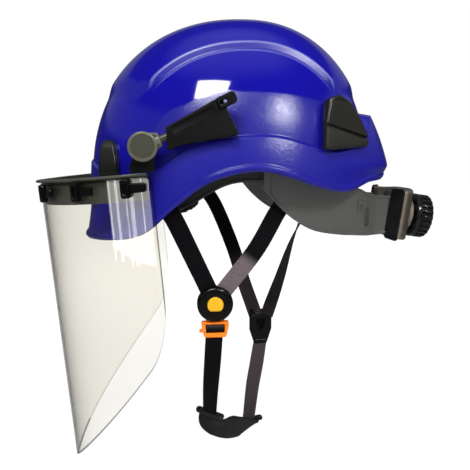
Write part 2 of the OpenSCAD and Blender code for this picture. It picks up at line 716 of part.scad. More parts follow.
module button_spring() {
    turns = 3;
    low = -button_travel - 0.4;
    height = buckle_thick / 2 - 4 - low - 0.1;
    color("silver") at_buckle() translate([0, 1, low]) rotate_extrude() union() for (k = [0 : turns - 1])
        polygon([[2.4, height * k / turns], [2.8, height * k / turns], [4.2, height * (k + 0.5) / turns],
            [2.8, height * (k + 1) / turns], [2.4, height * (k + 1) / turns], [3.8, height * (k + 0.5) / turns]]);
}

module buckle_tongue() {
    top = -buckle_r + 3;
    half = 12;
    prong = 6.5;
    color("#ff7d0a") at_buckle() translate([0, top, -buckle_thick / 2 + 1 + slide_gap]) difference() {
        union() {
            linear_extrude(channel_thick - 2 * slide_gap) translate([-channel_half + slide_gap, -3])
                square([2 * (channel_half - slide_gap), prong + 3]);
            translate([0, 0, -0.6]) linear_extrude(channel_thick + 1.4)
                polygon([[-half, -3.4], [half, -3.4], [half - 2.5, -tongue_height], [-half + 2.5, -tongue_height]]);
        }
        translate([-8, -12, -2]) cube([16, 2.6, 10]);
        translate([-8, -8, -2]) cube([16, 2.6, 10]);
    }
}

module strap_divider() {
    half = 12.5;
    tall = 39;
    color("#15151c") translate(divider_at) rotate([90, 0, 8]) translate([0, 0, -2]) linear_extrude(4) difference() {
        offset(2) polygon([[-half + 2, tall / 2 - 2], [half - 2, tall / 2 - 2], [half - 2, -2], [6, -tall / 2 + 2],
            [-6, -tall / 2 + 2], [-half + 2, -2]]);
        polygon([[-6, tall / 2 - 9], [6, tall / 2 - 9], [0, -6]]);
    }
}

module chin_cup() color("#202022") ribbon(route(cup_route, 4), cup_width, cup_thick, cup_side);

shell();
front_clip_left();
front_clip_right();
rear_clip_left();
rear_clip_right();
headband();
sweatband();
crown_straps();
crown_pad();
suspension_hangers();
shell_lugs();
nape_wing_left();
nape_wing_right();
ratchet_housing();
nape_pad();
size_rack_left();
size_rack_right();
ratchet_pinion();
knob_shaft();
pawl_ring();
ratchet_knob();
arm_plate_left();
arm_plate_right();
latch_clip_left();
latch_clip_right();
pivot_arm_left();
pivot_arm_right();
pivot_pin_left();
pivot_pin_right();
visor_bracket_left();
visor_bracket_right();
brow_frame();
visor_sheet();
visor_lock_1();
visor_lock_2();
visor_lock_3();
visor_lock_4();
visor_lock_5();
visor_lock_6();
strap_anchors();
front_strap_left();
rear_strap_left();
front_strap_right();
rear_strap_right();
buckle_body();
release_button();
button_spring();
buckle_tongue();
lower_strap_left();
strap_divider();
lower_strap_right();
chin_cup();
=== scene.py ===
"""Safety helmet with a flip-up face shield, a ratchet headband and a Y chin strap.

Metres, in the CAD model's frame: -X is the wearer's front, -Y the wearer's left, +Z up.
Sizes in the code are millimetres and are scaled as each mesh is made.
"""
import math

import bmesh
import bpy
import numpy as np
from bpy.props import FloatProperty, FloatVectorProperty, PointerProperty
from mathutils import Matrix, Vector


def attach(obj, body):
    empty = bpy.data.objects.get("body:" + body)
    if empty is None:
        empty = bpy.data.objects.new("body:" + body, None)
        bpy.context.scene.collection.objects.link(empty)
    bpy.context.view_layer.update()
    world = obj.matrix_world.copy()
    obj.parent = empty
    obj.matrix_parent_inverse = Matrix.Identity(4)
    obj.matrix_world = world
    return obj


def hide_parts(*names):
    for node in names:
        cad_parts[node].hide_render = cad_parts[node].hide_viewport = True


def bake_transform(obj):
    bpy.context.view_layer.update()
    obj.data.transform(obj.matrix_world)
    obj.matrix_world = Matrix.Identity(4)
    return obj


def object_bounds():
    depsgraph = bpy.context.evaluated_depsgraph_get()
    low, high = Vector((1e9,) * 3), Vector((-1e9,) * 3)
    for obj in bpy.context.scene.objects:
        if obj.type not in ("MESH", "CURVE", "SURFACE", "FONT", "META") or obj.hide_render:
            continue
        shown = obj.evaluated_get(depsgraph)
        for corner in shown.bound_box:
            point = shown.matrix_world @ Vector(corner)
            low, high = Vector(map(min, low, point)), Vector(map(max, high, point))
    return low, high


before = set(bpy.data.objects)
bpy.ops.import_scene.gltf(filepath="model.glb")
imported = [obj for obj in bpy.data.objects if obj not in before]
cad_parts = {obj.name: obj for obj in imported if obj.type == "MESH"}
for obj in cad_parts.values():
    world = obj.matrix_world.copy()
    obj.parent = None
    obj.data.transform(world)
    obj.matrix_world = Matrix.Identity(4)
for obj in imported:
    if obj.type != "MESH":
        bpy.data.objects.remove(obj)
CAD_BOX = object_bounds()

bl_info = {
    "name": "Safety Helmet Builder", "version": (1, 0, 0),
    "blender": (4, 5, 0), "location": "View3D > Sidebar > Helmet",
    "description": "Builds a safety helmet with a face shield around its CAD frame",
    "category": "Object",
}

MM = 0.001
UPWARD = np.array([0.0, 0.0, 1.0])


# ---------------------------------------------------------------- colours and settings

def linear(code):
    """A hex sRGB colour as linear RGB."""
    parts = [int(code[i:i + 2], 16) / 255 for i in (1, 3, 5)]
    return tuple(c / 12.92 if c <= 0.04045 else ((c + 0.055) / 1.055) ** 2.4 for c in parts)


def colour(name, description, code):
    return FloatVectorProperty(name=name, description=description, default=linear(code),
                               subtype="COLOR", size=3, min=0.0, max=1.0)


def length(name, description, default):
    return FloatProperty(name=name, description=description, default=default * MM, unit="LENGTH",
                         min=0.0, precision=5)


class ShellSettings(bpy.types.PropertyGroup):
    body: colour("Shell", "Colour of the moulded shell", "#100C88")
    clip: colour("Clips", "Colour of the lamp clips", "#121210")
    panel_ramp: length("Panel ramp", "Width of the slope beside the crown panel", 4.2)
    rim_bead: length("Rim bead", "How far the bead stands out along the rim", 1.5)
    grit: length("Grit", "Size of the texture's grains on the side panel", 1.1)


class HeadbandSettings(bpy.types.PropertyGroup):
    band: colour("Headband", "Colour of the headband and the nape wings", "#565754")
    webbing: colour("Crown webbing", "Colour of the crown webbing", "#55565A")
    foam: colour("Foam cloth", "Colour of the cloth over the foam", "#0C0C0D")
    housing: colour("Housing", "Colour of the ratchet's housing", "#3A3731")
    knob: colour("Knob", "Colour of the ratchet's knob", "#0E0E0F")


class VisorSettings(bpy.types.PropertyGroup):
    tint: colour("Tint", "Colour of the clear sheet", "#FDFCF9")
    brow: colour("Brow frame", "Colour of the brow frame", "#42433C")
    arms: colour("Arms", "Colour of the pivot discs and rods", "#3E3E35")
    fittings: colour("Fittings", "Colour of the plates, the brackets and the locks", "#0C0C0C")


class HarnessSettings(bpy.types.PropertyGroup):
    web: colour("Webbing", "Colour of the chin webbing", "#06060B")
    # Painted sheen: the lighter colour given to webbing where a strap turns toward the light
    painted_sheen: colour("Webbing's nap", "Colour of the webbing where its nap catches the light", "#6E6266")
    button: colour("Button", "Colour of the release button", "#F0B412")
    tongue: colour("Tongue", "Colour of the buckle's tongue", "#FF7F08")
    cup: colour("Chin cup", "Colour of the chin cup", "#0F0F12")
    rib: length("Rib", "Spacing of the webbing's ribs", 1.5)


class StudioSettings(bpy.types.PropertyGroup):
    floor: colour("Floor", "Colour of the floor", "#F4F4F4")
    floor_drop: length("Floor drop", "How far the floor is below the helmet", 120.0)


# ---------------------------------------------------------------- small maths

def unit(v):
    v = np.asarray(v, float)
    return v / np.maximum(np.linalg.norm(v, axis=-1, keepdims=True), 1e-9)


def smooth(t):
    u = np.clip(t, 0, 1)
    return u * u * (3 - 2 * u)


def ramp(t, soft=0.18):
    """0 to 1 in a straight slope with rounded ends."""
    u = np.clip(t, 0, 1)
    steep = 1 / (1 - soft)
    return np.where(u < soft, steep * u ** 2 / (2 * soft),
                    np.where(u > 1 - soft, 1 - steep * (1 - u) ** 2 / (2 * soft), steep * (u - soft / 2)))


def signed_power(value, power):
    return math.copysign(abs(value) ** power, value)


def curve(table, x):
    """Smooth curve through a table of (key, value)."""
    keys, values = np.array(table, float).T
    slopes = np.zeros(len(keys))
    slopes[1:-1] = (values[2:] - values[:-2]) / (keys[2:] - keys[:-2])
    i = np.clip(np.searchsorted(keys, x, side="right") - 1, 0, len(keys) - 2)
    h = keys[i + 1] - keys[i]
    u = (x - keys[i]) / h
    return ((2 * u ** 3 - 3 * u ** 2 + 1) * values[i] + (u ** 3 - 2 * u ** 2 + u) * h * slopes[i]
            + (3 * u ** 2 - 2 * u ** 3) * values[i + 1] + (u ** 3 - u ** 2) * h * slopes[i + 1])


def route(points, steps):
    """Smooth open curve through points, as an array."""
    p = np.array(points, float)
    bend = np.vstack([p[1] - p[0], (p[2:] - p[:-2]) / 2, p[-1] - p[-2]])
    rows = []
    for i in range(len(p) - 1):
        for k in range(steps):
            u = k / steps
            rows.append((2 * u ** 3 - 3 * u ** 2 + 1) * p[i] + (u ** 3 - 2 * u ** 2 + u) * bend[i]
                        + (3 * u ** 2 - 2 * u ** 3) * p[i + 1] + (u ** 3 - u ** 2) * bend[i + 1])
    return np.array(rows + [p[-1]])


def directions(path):
    """Unit direction of a path at each of its points."""
    return unit(np.vstack([path[1:2] - path[0:1], path[2:] - path[:-2], path[-1:] - path[-2:-1]]))


def lengths(path):
    """Distance along a path at each of its points."""
    return np.concatenate([[0], np.cumsum(np.linalg.norm(np.diff(path, axis=0), axis=1))])


# ---------------------------------------------------------------- meshes

def make_mesh(name, points, faces, material, attributes=None, shade=40):
    """A mesh object from points in millimetres."""
    mesh = bpy.data.meshes.new(name)
    mesh.from_pydata((np.asarray(points, float) * MM).tolist(), [], [tuple(map(int, f)) for f in faces])
    mesh.validate()
    for key, values in (attributes or {}).items():
        values = np.asarray(values, float)
        kind, field = ("FLOAT", "value") if values.ndim == 1 else ("FLOAT_VECTOR", "vector")
        mesh.attributes.new(key, kind, "POINT").data.foreach_set(field, values.ravel())
    return finish_mesh(name, mesh, material, shade)


def finish_mesh(name, mesh, material, shade=40):
    """Puts outward normals, soft shading and a material on a mesh and links its object."""
    form = bmesh.new()
    form.from_mesh(mesh)
    bmesh.ops.recalc_face_normals(form, faces=form.faces)
    form.to_mesh(mesh)
    form.free()
    mesh.shade_smooth()
    mesh.set_sharp_from_angle(angle=math.radians(shade))
    piece = bpy.data.objects.new(name, mesh)
    bpy.context.scene.collection.objects.link(piece)
    mesh.materials.clear()
    mesh.materials.append(material)
    return piece


def applied(piece):
    """Applies a piece's modifiers."""
    graph = bpy.context.evaluated_depsgraph_get()
    mesh = bpy.data.meshes.new_from_object(piece.evaluated_get(graph))
    old = piece.data
    piece.modifiers.clear()
    piece.data = mesh
    bpy.data.meshes.remove(old)
    return piece


def bevel(piece, width, segments=3, angle=30):
    tool = piece.modifiers.new("bevel", "BEVEL")
    tool.width, tool.segments, tool.limit_method = width * MM, segments, "ANGLE"
    tool.angle_limit = math.radians(angle)
    tool.harden_normals = False
    return piece


def cut(piece, *cutters):
    """Cuts other solids out of a piece."""
    for cutter in cutters:
        tool = piece.modifiers.new("cut", "BOOLEAN")
        tool.operation, tool.solver, tool.object = "DIFFERENCE", "EXACT", cutter
    applied(piece)
    for cutter in cutters:
        bpy.data.objects.remove(cutter)
    piece.data.shade_smooth()
    piece.data.set_sharp_from_angle(angle=math.radians(35))
    return piece


def joined(name, pieces):
    """Joins pieces into the first one's mesh."""
    form = bmesh.new()
    for other in pieces:
        part = other.data.copy()
        part.transform(other.matrix_world)
        form.from_mesh(part)
        bpy.data.meshes.remove(part)
    mesh = bpy.data.meshes.new(name)
    form.to_mesh(mesh)
    form.free()
    material = pieces[0].data.materials[0]
    for other in pieces:
        bpy.data.objects.remove(other)
    mesh.materials.append(material)
    mesh.set_sharp_from_angle(angle=math.radians(35))
    piece = bpy.data.objects.new(name, mesh)
    bpy.context.scene.collection.objects.link(piece)
    return piece


def grid_faces(rows, columns, closed=True):
    """Quads between rows of points; closed joins each row's end to its start."""
    last = columns if closed else columns - 1
    return [(j * columns + i, j * columns + (i + 1) % columns, (j + 1) * columns + (i + 1) % columns,
             (j + 1) * columns + i) for j in range(rows - 1) for i in range(last)]


def skin(name, rings, material, attributes=None, shade=40):
    """A closed solid through rings of points, with flat ends."""
    rings = np.asarray(rings, float)
    m, n = rings.shape[:2]
    faces = grid_faces(m, n) + [tuple(range(n)), tuple(range((m - 1) * n, m * n))[::-1]]
    return make_mesh(name, rings.reshape(-1, 3), faces, material, attributes, shade)


def extruded(name, outline, thick, material, place=None, holes=(), round_off=0.6, segments=3):
    """A flat plate with rounded edges, from z 0 to thick, from an outline and holes in millimetres."""
    form = bpy.data.curves.new(name, "CURVE")
    form.dimensions, form.fill_mode = "2D", "BOTH"
    for points in (outline, *holes):
        spline = form.splines.new("POLY")
        spline.points.add(len(points) - 1)
        for spot, p in zip(spline.points, points):
            spot.co = (p[0] * MM, p[1] * MM, 0, 1)
        spline.use_cyclic_u = True
    form.extrude = (thick / 2 - round_off) * MM
    form.bevel_depth, form.offset = round_off * MM, -round_off * MM
    form.bevel_resolution = segments
    stand_in = bpy.data.objects.new(name, form)
    bpy.context.scene.collection.objects.link(stand_in)
    bpy.context.view_layer.update()
    graph = bpy.context.evaluated_depsgraph_get()
    mesh = bpy.data.meshes.new_from_object(stand_in.evaluated_get(graph))
    bpy.data.objects.remove(stand_in)
    form = bmesh.new()
    form.from_mesh(mesh)
    bmesh.ops.remove_doubles(form, verts=form.verts, dist=1e-6)
    form.to_mesh(mesh)
    form.free()
    mesh.transform(shift(0, 0, thick / 2))
    if place is not None:
        mesh.transform(place)
    return finish_mesh(name, mesh, material, 35)


def cutter(outline, deep, material, place):
    """A solid with crisp edges, for cutting a hollow."""
    return extruded("cutter", outline, deep, material, place, round_off=0.1, segments=1)


def rounded(points, radius, steps=6):
    """An outline with its corners rounded."""
    out = []
    pts = [np.array(p, float) for p in points]
    for i, p in enumerate(pts):
        a, b = pts[i - 1] - p, pts[(i + 1) % len(pts)] - p
        r = radius[i] if hasattr(radius, "__len__") else radius
        la, lb = np.linalg.norm(a), np.linalg.norm(b)
        a, b = a / la, b / lb
        half = math.acos(np.clip(a @ b, -1, 1)) / 2
        back = min(r / math.tan(half), 0.48 * la, 0.48 * lb) if half > 1e-3 else 0
        start, end = p + a * back, p + b * back
        for k in range(steps + 1):
            t = k / steps
            out.append((1 - t) ** 2 * start + 2 * t * (1 - t) * p + t * t * end)
    return out


def box(left, low, right, high, radius, steps=6):
    """A rectangle's outline with rounded corners."""
    return rounded([(left, low), (right, low), (right, high), (left, high)], radius, steps)


def circle(radius, count=48, centre=(0, 0), start=0.0, end=360.0):
    full = abs(end - start) >= 360
    angles = np.radians(np.linspace(start, end, count + 1)[:-1] if full else np.linspace(start, end, count))
    return [(centre[0] + radius * math.cos(a), centre[1] + radius * math.sin(a)) for a in angles]


def lathe(name, profile, material, place=None, count=64, wave=None, shade=35):
    """A solid of revolution about Z from (radius, z) pairs, with an optional radius change by angle."""
    angles = np.radians(np.arange(count) * 360 / count)
    rings = []
    for k, (r, z) in enumerate(profile):
        r = np.full(count, float(r)) if wave is None else r + wave(angles, k)
        rings.append(np.stack([r * np.cos(angles), r * np.sin(angles), np.full(count, float(z))], -1))
    piece = skin(name, rings, material, shade=shade)
    if place is not None:
        piece.data.transform(place)
    return piece


def shift(x, y, z):
    return Matrix.Translation((x * MM, y * MM, z * MM))


def placed(origin, x=(1, 0, 0), z=(0, 0, 1)):
    """Matrix that takes a piece's own X and Z axes to these, at a point in millimetres."""
    z = Vector(z).normalized()
    x = Vector(x)
    x = (x - z * x.dot(z)).normalized()
    y = z.cross(x)
    return Matrix.Translation(Vector(origin) * MM) @ Matrix((x, y, z)).transposed().to_4x4()


def mirrored(piece, name):
    """A copy of a piece on the other side of the helmet."""
    mesh = piece.data.copy()
    mesh.transform(Matrix.Scale(-1, 4, (0, 1, 0)))
    mesh.flip_normals()
    twin = bpy.data.objects.new(name, mesh)
    bpy.context.scene.collection.objects.link(twin)
    return twin


def keep(piece, body, slot, *nodes):
    """Joins a piece to a body and lets it stand for CAD nodes, which it hides; slot is not used."""
    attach(piece, body)
    if nodes:
        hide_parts(*nodes)
    return piece


def keep_pair(left, node, bodies, slot):
    """Keeps a left piece and its mirror image; bodies holds the left one's and the right one's."""
    right = mirrored(left, node + "_right_piece")
    keep(left, bodies[0], slot, node + "_left")
    keep(right, bodies[-1], slot, node + "_right")


def dress(node, material, width=0.4):
    """Gives a CAD node a material and softened edges."""
    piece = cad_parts[node]
    for place in piece.material_slots:
        place.material = material
    if not piece.material_slots:
        piece.data.materials.append(material)
    if width:
        bevel(piece, width, 2, 35)


# ---------------------------------------------------------------- materials

DRIFT = 14.0  # millimetres over which a moulding's colour drifts
HAZE = 9.0  # millimetres over which its roughness drifts
SINK = 45.0  # millimetres between the shallow sinks of the shell's skin


def add_node(tree, kind, inputs=None, **settings):
    """Adds a node; inputs holds socket values or the outputs to link to them."""
    node = tree.nodes.new(kind)
    for key, value in settings.items():
        setattr(node, key, value)
    for key, value in (inputs or {}).items():
        if isinstance(value, bpy.types.NodeSocket):
            tree.links.new(value, node.inputs[key])
        else:
            node.inputs[key].default_value = value
    return node


def math_node(tree, operation, *values, **settings):
    """Output of a sum with numbers and outputs."""
    return add_node(tree, "ShaderNodeMath", dict(enumerate(values)), operation=operation,
                    **settings).outputs[0]


def noise(tree, coords, size, detail, **more):
    """Output of a noise with grains of a size in millimetres."""
    inputs = {"Vector": coords, "Scale": 1 / MM / size, "Detail": detail, **more}
    return add_node(tree, "ShaderNodeTexNoise", inputs).outputs["Fac"]


def spread(tree, value, low, high, start=0.0, end=1.0, **settings):
    """Output that goes from low to high while a value goes from start to end."""
    inputs = {"Value": value, "From Min": start, "From Max": end, "To Min": low, "To Max": high}
    return add_node(tree, "ShaderNodeMapRange", inputs, **settings).outputs["Result"]


def bumped(tree, height, strength, depth, **settings):
    """Normals bent by a height; depth is in millimetres."""
    inputs = {"Height": height, "Strength": strength, "Distance": depth * MM}
    return add_node(tree, "ShaderNodeBump", inputs, **settings).outputs["Normal"]


def either(tree, share, first, second):
    """Shader that goes from the first to the second with a share."""
    return add_node(tree, "ShaderNodeMixShader", {0: share, 1: first, 2: second}).outputs[0]


def rgba(c):
    return (c[0], c[1], c[2], 1.0)


def mix_colour(tree, factor, a, b):
    a, b = [c if isinstance(c, bpy.types.NodeSocket) else rgba(c) for c in (a, b)]
    return add_node(tree, "ShaderNodeMix", {0: factor, 6: a, 7: b}, data_type="RGBA").outputs[2]


def object_coords(tree):
    return add_node(tree, "ShaderNodeTexCoord").outputs["Object"]


def carried(tree, name, output="Fac"):
    """Output of an attribute that a mesh carries."""
    return add_node(tree, "ShaderNodeAttribute", attribute_name=name).outputs[output]


def new_material(name):
    """An empty node material and its tree."""
    material = bpy.data.materials.get(name) or bpy.data.materials.new(name)
    material.use_nodes = True
    material.node_tree.nodes.clear()
    return material, material.node_tree


def close_material(material, tree, shader):
    add_node(tree, "ShaderNodeOutputMaterial", {"Surface": shader})
    return material


def close_principled(material, tree, inputs):
    return close_material(material, tree, add_node(tree, "ShaderNodeBsdfPrincipled", inputs).outputs["BSDF"])


def moulded(name, base, roughness, grain, depth, variation=0.06, specular=0.5, edge=None):
    """Injection-moulded plastic: fine grain breaks up its highlight, and its roughness drifts a little.

    The grain is drawn several times coarser than a real mould's texture, so that it shows at the
    camera's distance.
    """
    material, tree = new_material(name)
    coords = object_coords(tree)
    tone = mix_colour(tree, noise(tree, coords, DRIFT, 3.0), [c * (1 - variation) for c in base],
                      [min(c * (1 + variation), 1) for c in base])
    # Painted highlight: convex corners and ridges get a lighter edge colour, mixed in by pointiness
    if edge is not None:
        corners = add_node(tree, "ShaderNodeNewGeometry").outputs["Pointiness"]
        tone = mix_colour(tree, spread(tree, corners, 0.0, 0.8, 0.51, 0.6), tone, edge)
    pits = noise(tree, coords, grain, 4.0, Roughness=0.6)
    rough = spread(tree, noise(tree, coords, HAZE, 2.0), roughness * 0.85, roughness * 1.15)
    return close_principled(material, tree, {
        "Base Color": tone, "Roughness": rough, "Normal": bumped(tree, pits, depth, 0.3), "IOR": 1.5,
        "Specular IOR Level": specular})


def shell_abs(look):
    """Injection-moulded ABS: a polished mould above the side line, and a spark-eroded grain below it.

    The grain is drawn about four times coarser than a real one, so that it shows at the camera's
    distance.
    """
    material, tree = new_material("abs_moulded")
    coords = object_coords(tree)
    grain = carried(tree, "grain")
    grit = noise(tree, coords, look.grit / MM, 2.0, Roughness=0.55)
    height = math_node(tree, "MULTIPLY_ADD", noise(tree, coords, SINK, 1.0), 0.35,
                       math_node(tree, "MULTIPLY", grain, grit))
    rough = spread(tree, grain, 0.06, 0.23)
    tone = mix_colour(tree, grain, look.body, [c * 0.92 + 0.004 for c in look.body])
    # Both corners of the crown panel's step get a painted highlight: a thin pale line mixed into the colour
    spot = add_node(tree, "ShaderNodeSeparateXYZ", {"Vector": coords})
    side = math_node(tree, "ABSOLUTE", spot.outputs["Y"])
    high = spread(tree, spot.outputs["Z"], 0.0, 1.0, 94 * MM, 110 * MM, interpolation_type="SMOOTHSTEP")

    def stripe(at, reach):
        near = math_node(tree, "COMPARE", side, (CROWN_HALF + at) * MM, reach * MM)
        return math_node(tree, "MULTIPLY", near, high)

    for at, reach, share in ((0.3, 0.45, 0.2), (2.9, 0.4, 0.17)):
        tone = mix_colour(tree, math_node(tree, "MULTIPLY", stripe(at, reach), share), tone,
                          linear("#C9CCF6"))
    # The slope between them is duller than the skin round it
    rough = math_node(tree, "MULTIPLY_ADD", stripe(1.6, 2.6), 0.26, rough)
    return close_principled(material, tree, {
        "Base Color": tone, "Roughness": rough, "Normal": bumped(tree, height, 0.36, 0.4), "IOR": 1.53,
        "Specular IOR Level": 0.5})


def webbing(name, base, painted_sheen, rib, amount=0.35):
    """Woven polyester webbing: crosswise ribs with a fine twill, dull with a faint sheen, plus a painted
    sheen: a lighter colour where a strap turns toward the light.
    """
    material, tree = new_material(name)
    axes = add_node(tree, "ShaderNodeSeparateXYZ", {"Vector": carried(tree, "weave_and_sheen", "Vector")})
    across, along, raised = (axes.outputs[key] for key in "XYZ")

    def rows(value, pitch):
        return math_node(tree, "SINE", math_node(tree, "MULTIPLY", value, math.tau / pitch))

    twill = rows(math_node(tree, "ADD", across, along), rib * 0.7)
    threads = math_node(tree, "MULTIPLY_ADD", twill, 0.5, rows(along, rib))
    fuzz = noise(tree, object_coords(tree), 1.1, 2.0)
    height = math_node(tree, "MULTIPLY_ADD", fuzz, 0.8, threads)
    # Painted sheen: the lighter colour is mixed in by the share the mesh carries, broken by the fuzz and
    # threads
    lit = math_node(tree, "MULTIPLY_ADD", raised, fuzz, raised, use_clamp=True)
    facing = math_node(tree, "MULTIPLY", lit, spread(tree, threads, 0.75, 1.0, -1.5, 1.5))
    return close_principled(material, tree, {
        "Base Color": mix_colour(tree, facing, base, painted_sheen), "Roughness": 0.7,
        "Normal": bumped(tree, height, amount, 0.2), "Specular IOR Level": 0.12, "Sheen Weight": 0.02,
        "Sheen Roughness": 0.5})


def knitted(name, base, pitch):
    """Knitted polyester over foam: a small regular mesh with a soft sheen at its edges."""
    material, tree = new_material(name)
    loops = add_node(tree, "ShaderNodeTexVoronoi", {
        "Vector": object_coords(tree), "Scale": 1 / MM / pitch, "Randomness": 0.35}).outputs["Distance"]
    # Painted shade and highlight: each loop lighter at its middle and darker toward its sunken border
    return close_principled(material, tree, {
        "Base Color": mix_colour(tree, loops, [min(c * 1.6 + 0.004, 1) for c in base], base),
        "Roughness": 0.9, "Normal": bumped(tree, loops, 0.5, 0.4, invert=True), "Specular IOR Level": 0.2,
        "Sheen Weight": 0.3, "Sheen Roughness": 0.4})


def polycarbonate(name, tint):
    """Extruded clear polycarbonate sheet: hard reflections, drawn ripples and painted shade along its edges,
    darker as the sheet is seen edge-on.
    """
    material, tree = new_material(name)
    draw = add_node(tree, "ShaderNodeMapping", {"Vector": object_coords(tree), "Scale": (1.0, 1.0, 0.1)})
    bent = bumped(tree, noise(tree, draw.outputs["Vector"], 22, 1.0), 0.1, 1.0)
    # Painted shade: the sheet's colour darkens along its edges, as seen edge-on
    tone = mix_colour(tree, carried(tree, "edge"), tint, [c * 0.35 for c in tint])
    clear = add_node(tree, "ShaderNodeBsdfTransparent", {"Color": tone}).outputs["BSDF"]
    shine = add_node(tree, "ShaderNodeBsdfGlossy", {"Color": (1, 1, 1, 1), "Roughness": 0.03, "Normal": bent})
    # Light goes straight through the thin sheet, so its back faces mirror as its front faces do
    back = add_node(tree, "ShaderNodeNewGeometry").outputs["Backfacing"]
    mirror = add_node(tree, "ShaderNodeFresnel", {"IOR": spread(tree, back, 1.5, 1 / 1.5), "Normal": bent})
    sheet = either(tree, mirror.outputs["Fac"], clear, shine.outputs["BSDF"])
    shadow = add_node(tree, "ShaderNodeLightPath").outputs["Is Shadow Ray"]
    plain = add_node(tree, "ShaderNodeBsdfTransparent", {"Color": rgba(tint)}).outputs["BSDF"]
    return close_material(material, tree, either(tree, shadow, sheet, plain))


def steel(name):
    """Zinc-plated steel: bright, with the lines of its turning drawn coarser than real ones."""
    material, tree = new_material(name)
    lines = noise(tree, object_coords(tree), 0.6, 2.0)
    return close_principled(material, tree, {
        "Base Color": rgba(linear("#B9BBBD")), "Metallic": 1.0, "Roughness": spread(tree, lines, 0.25, 0.42)})


def dimpled_acetal(name, base):
    """Moulded acetal with a grid of grip dimples, coarser than real ones, so the face sparkles in squares."""
    material, tree = new_material(name)
    grid = {"Vector": object_coords(tree), "Scale": 1 / MM / 2.1, "Randomness": 0.0}
    cells = add_node(tree, "ShaderNodeTexVoronoi", grid, distance="CHEBYCHEV").outputs["Distance"]
    # Painted shade and highlight: darker toward each dimple's sunken border, lighter at its middle
    tone = mix_colour(tree, cells, [min(c * 1.15, 1) for c in base], [c * 0.45 for c in base])
    return close_principled(material, tree, {
        "Base Color": tone, "Roughness": 0.38, "Normal": bumped(tree, cells, 0.7, 0.5, invert=True),
        "IOR": 1.48})


# ---------------------------------------------------------------- shell

SHELL_FRONT, SHELL_REAR, SHELL_HALF, DOME_HEIGHT = 139.0, 117.0, 107.0, 143.0
SHELL_X, BELT_Z, DOME_POWER, SHELL_WALL = -1.0, 20.0, 2.2, 3.0
SIDE_STEP, REAR_STEP, CROWN_RISE, CROWN_HALF = 3.5, 10.0, 3.0, 72.0
SLOPE_SIDE, SLOPE_REAR, SLOPE_FRONT, BRIM_FLARE, REAR_TUCK = 0.12, 0.2, 0.02, 4.0, 8.0
# Degrees from the front where the brow's form ends and the nape's begins, and over how many each changes
FRONT_FROM, FRONT_OVER, REAR_FROM, REAR_OVER = 30, 30, 122, 40
SHELL_COLUMNS = 360
# Rows of the crown, of the sides down to the rim band, and of the band
OUTER_ROWS, INNER_ROWS = (60, 70, 60), (20, 20, 16)
LIP_DROP = 1.3
# Heights by the angle from the front: the rim, the top of the rim band and the top of the grained side panel
RIM_LINE = [(0, -29), (30, -26), (46, -18), (58, 3), (70, 22), (84, 31), (96, 31), (118, 18), (130, 15),
            (146, 22), (180, 23)]
BAND_LINE = [(0, 40), (40, 24), (52, 34), (62, 49), (76, 56), (98, 58), (118, 49), (128, 47), (142, 57),
             (156, 78), (180, 80)]
GRAIN_LINE = [(0, 38), (38, 26), (44, 44), (50, 74), (59, 83), (69, 90.5), (77, 93), (98, 93), (111, 91),
              (126, 86), (146, 82), (180, 80)]


def fold(angle):
    a = np.abs(angle) % 360
    return np.where(a > 180, 360 - a, a)


def plan(angle, front, rear, half):
    """Plan of the dome at an angle from the front."""
    c, s = np.cos(np.radians(angle)), np.sin(np.radians(angle))
    a = np.where(c > 0, front, rear)
    r = ((np.abs(c) / a) ** DOME_POWER + (np.abs(s) / half) ** DOME_POWER) ** (-1 / DOME_POWER)
    return -r * c, -r * s


def dome_y(x, z, inset=0.0):
    """Half width of the plain dome."""
    a = (SHELL_FRONT if x < SHELL_X else SHELL_REAR) - inset
    h = max(z - BELT_Z, 0) / (DOME_HEIGHT - inset)
    left = max(1 - (abs(x - SHELL_X) / a) ** DOME_POWER - h ** DOME_POWER, 0)
    return (SHELL_HALF - inset) * left ** (1 / DOME_POWER)


def shell_surface(angle, z, inset, look):
    """Points of the shell at an angle from the front and a height."""
    a = fold(angle)
    h = DOME_HEIGHT - inset
    front, rear, half = SHELL_FRONT - inset, SHELL_REAR - inset, SHELL_HALF - inset
    up = np.maximum(z - BELT_Z, 0)
    shrink = np.maximum(1 - (up / h) ** DOME_POWER, 0) ** (1 / DOME_POWER)
    px, py = plan(angle, front, rear, half)
    x, y = px * shrink, py * shrink
    normal = unit(np.stack([x / front ** 2, y / half ** 2, up / h ** 2 + 1e-6], -1))
    at_rear = smooth((a - REAR_FROM) / REAR_OVER)
    at_front = 1 - smooth((a - FRONT_FROM) / FRONT_OVER)
    step = SIDE_STEP * (1 - 0.5 * at_front)
    step = step + (REAR_STEP - step) * at_rear
    grade = SLOPE_SIDE + (SLOPE_FRONT - SLOPE_SIDE) * at_front
    grade = grade + (SLOPE_REAR - grade) * at_rear
    drop = curve(BAND_LINE, a) - z
    under = at_rear * REAR_TUCK * smooth((36 - z) / 14)
    band = ramp(drop / 2.2 + 0.5) * (step + grade * np.maximum(drop, 0) - under)
    band = band + at_front * BRIM_FLARE * np.clip((2 - z) / 31, 0, 1) ** 1.6
    above_rim = z - curve(RIM_LINE, a)
    if inset == 0:
        band = band + look.rim_bead / MM * np.exp(-((above_rim - 2.2) / 2.1) ** 6)
    width = look.panel_ramp / MM
    crown = CROWN_RISE * ramp((CROWN_HALF - np.abs(y)) / width + 0.5) * smooth((z - 92) / 14)
    out = np.stack([-np.cos(np.radians(angle)), -np.sin(np.radians(angle)), 0 * angle], -1)
    return (np.stack([SHELL_X + x, y, z], -1) + band[..., None] * out + crown[..., None] * normal)


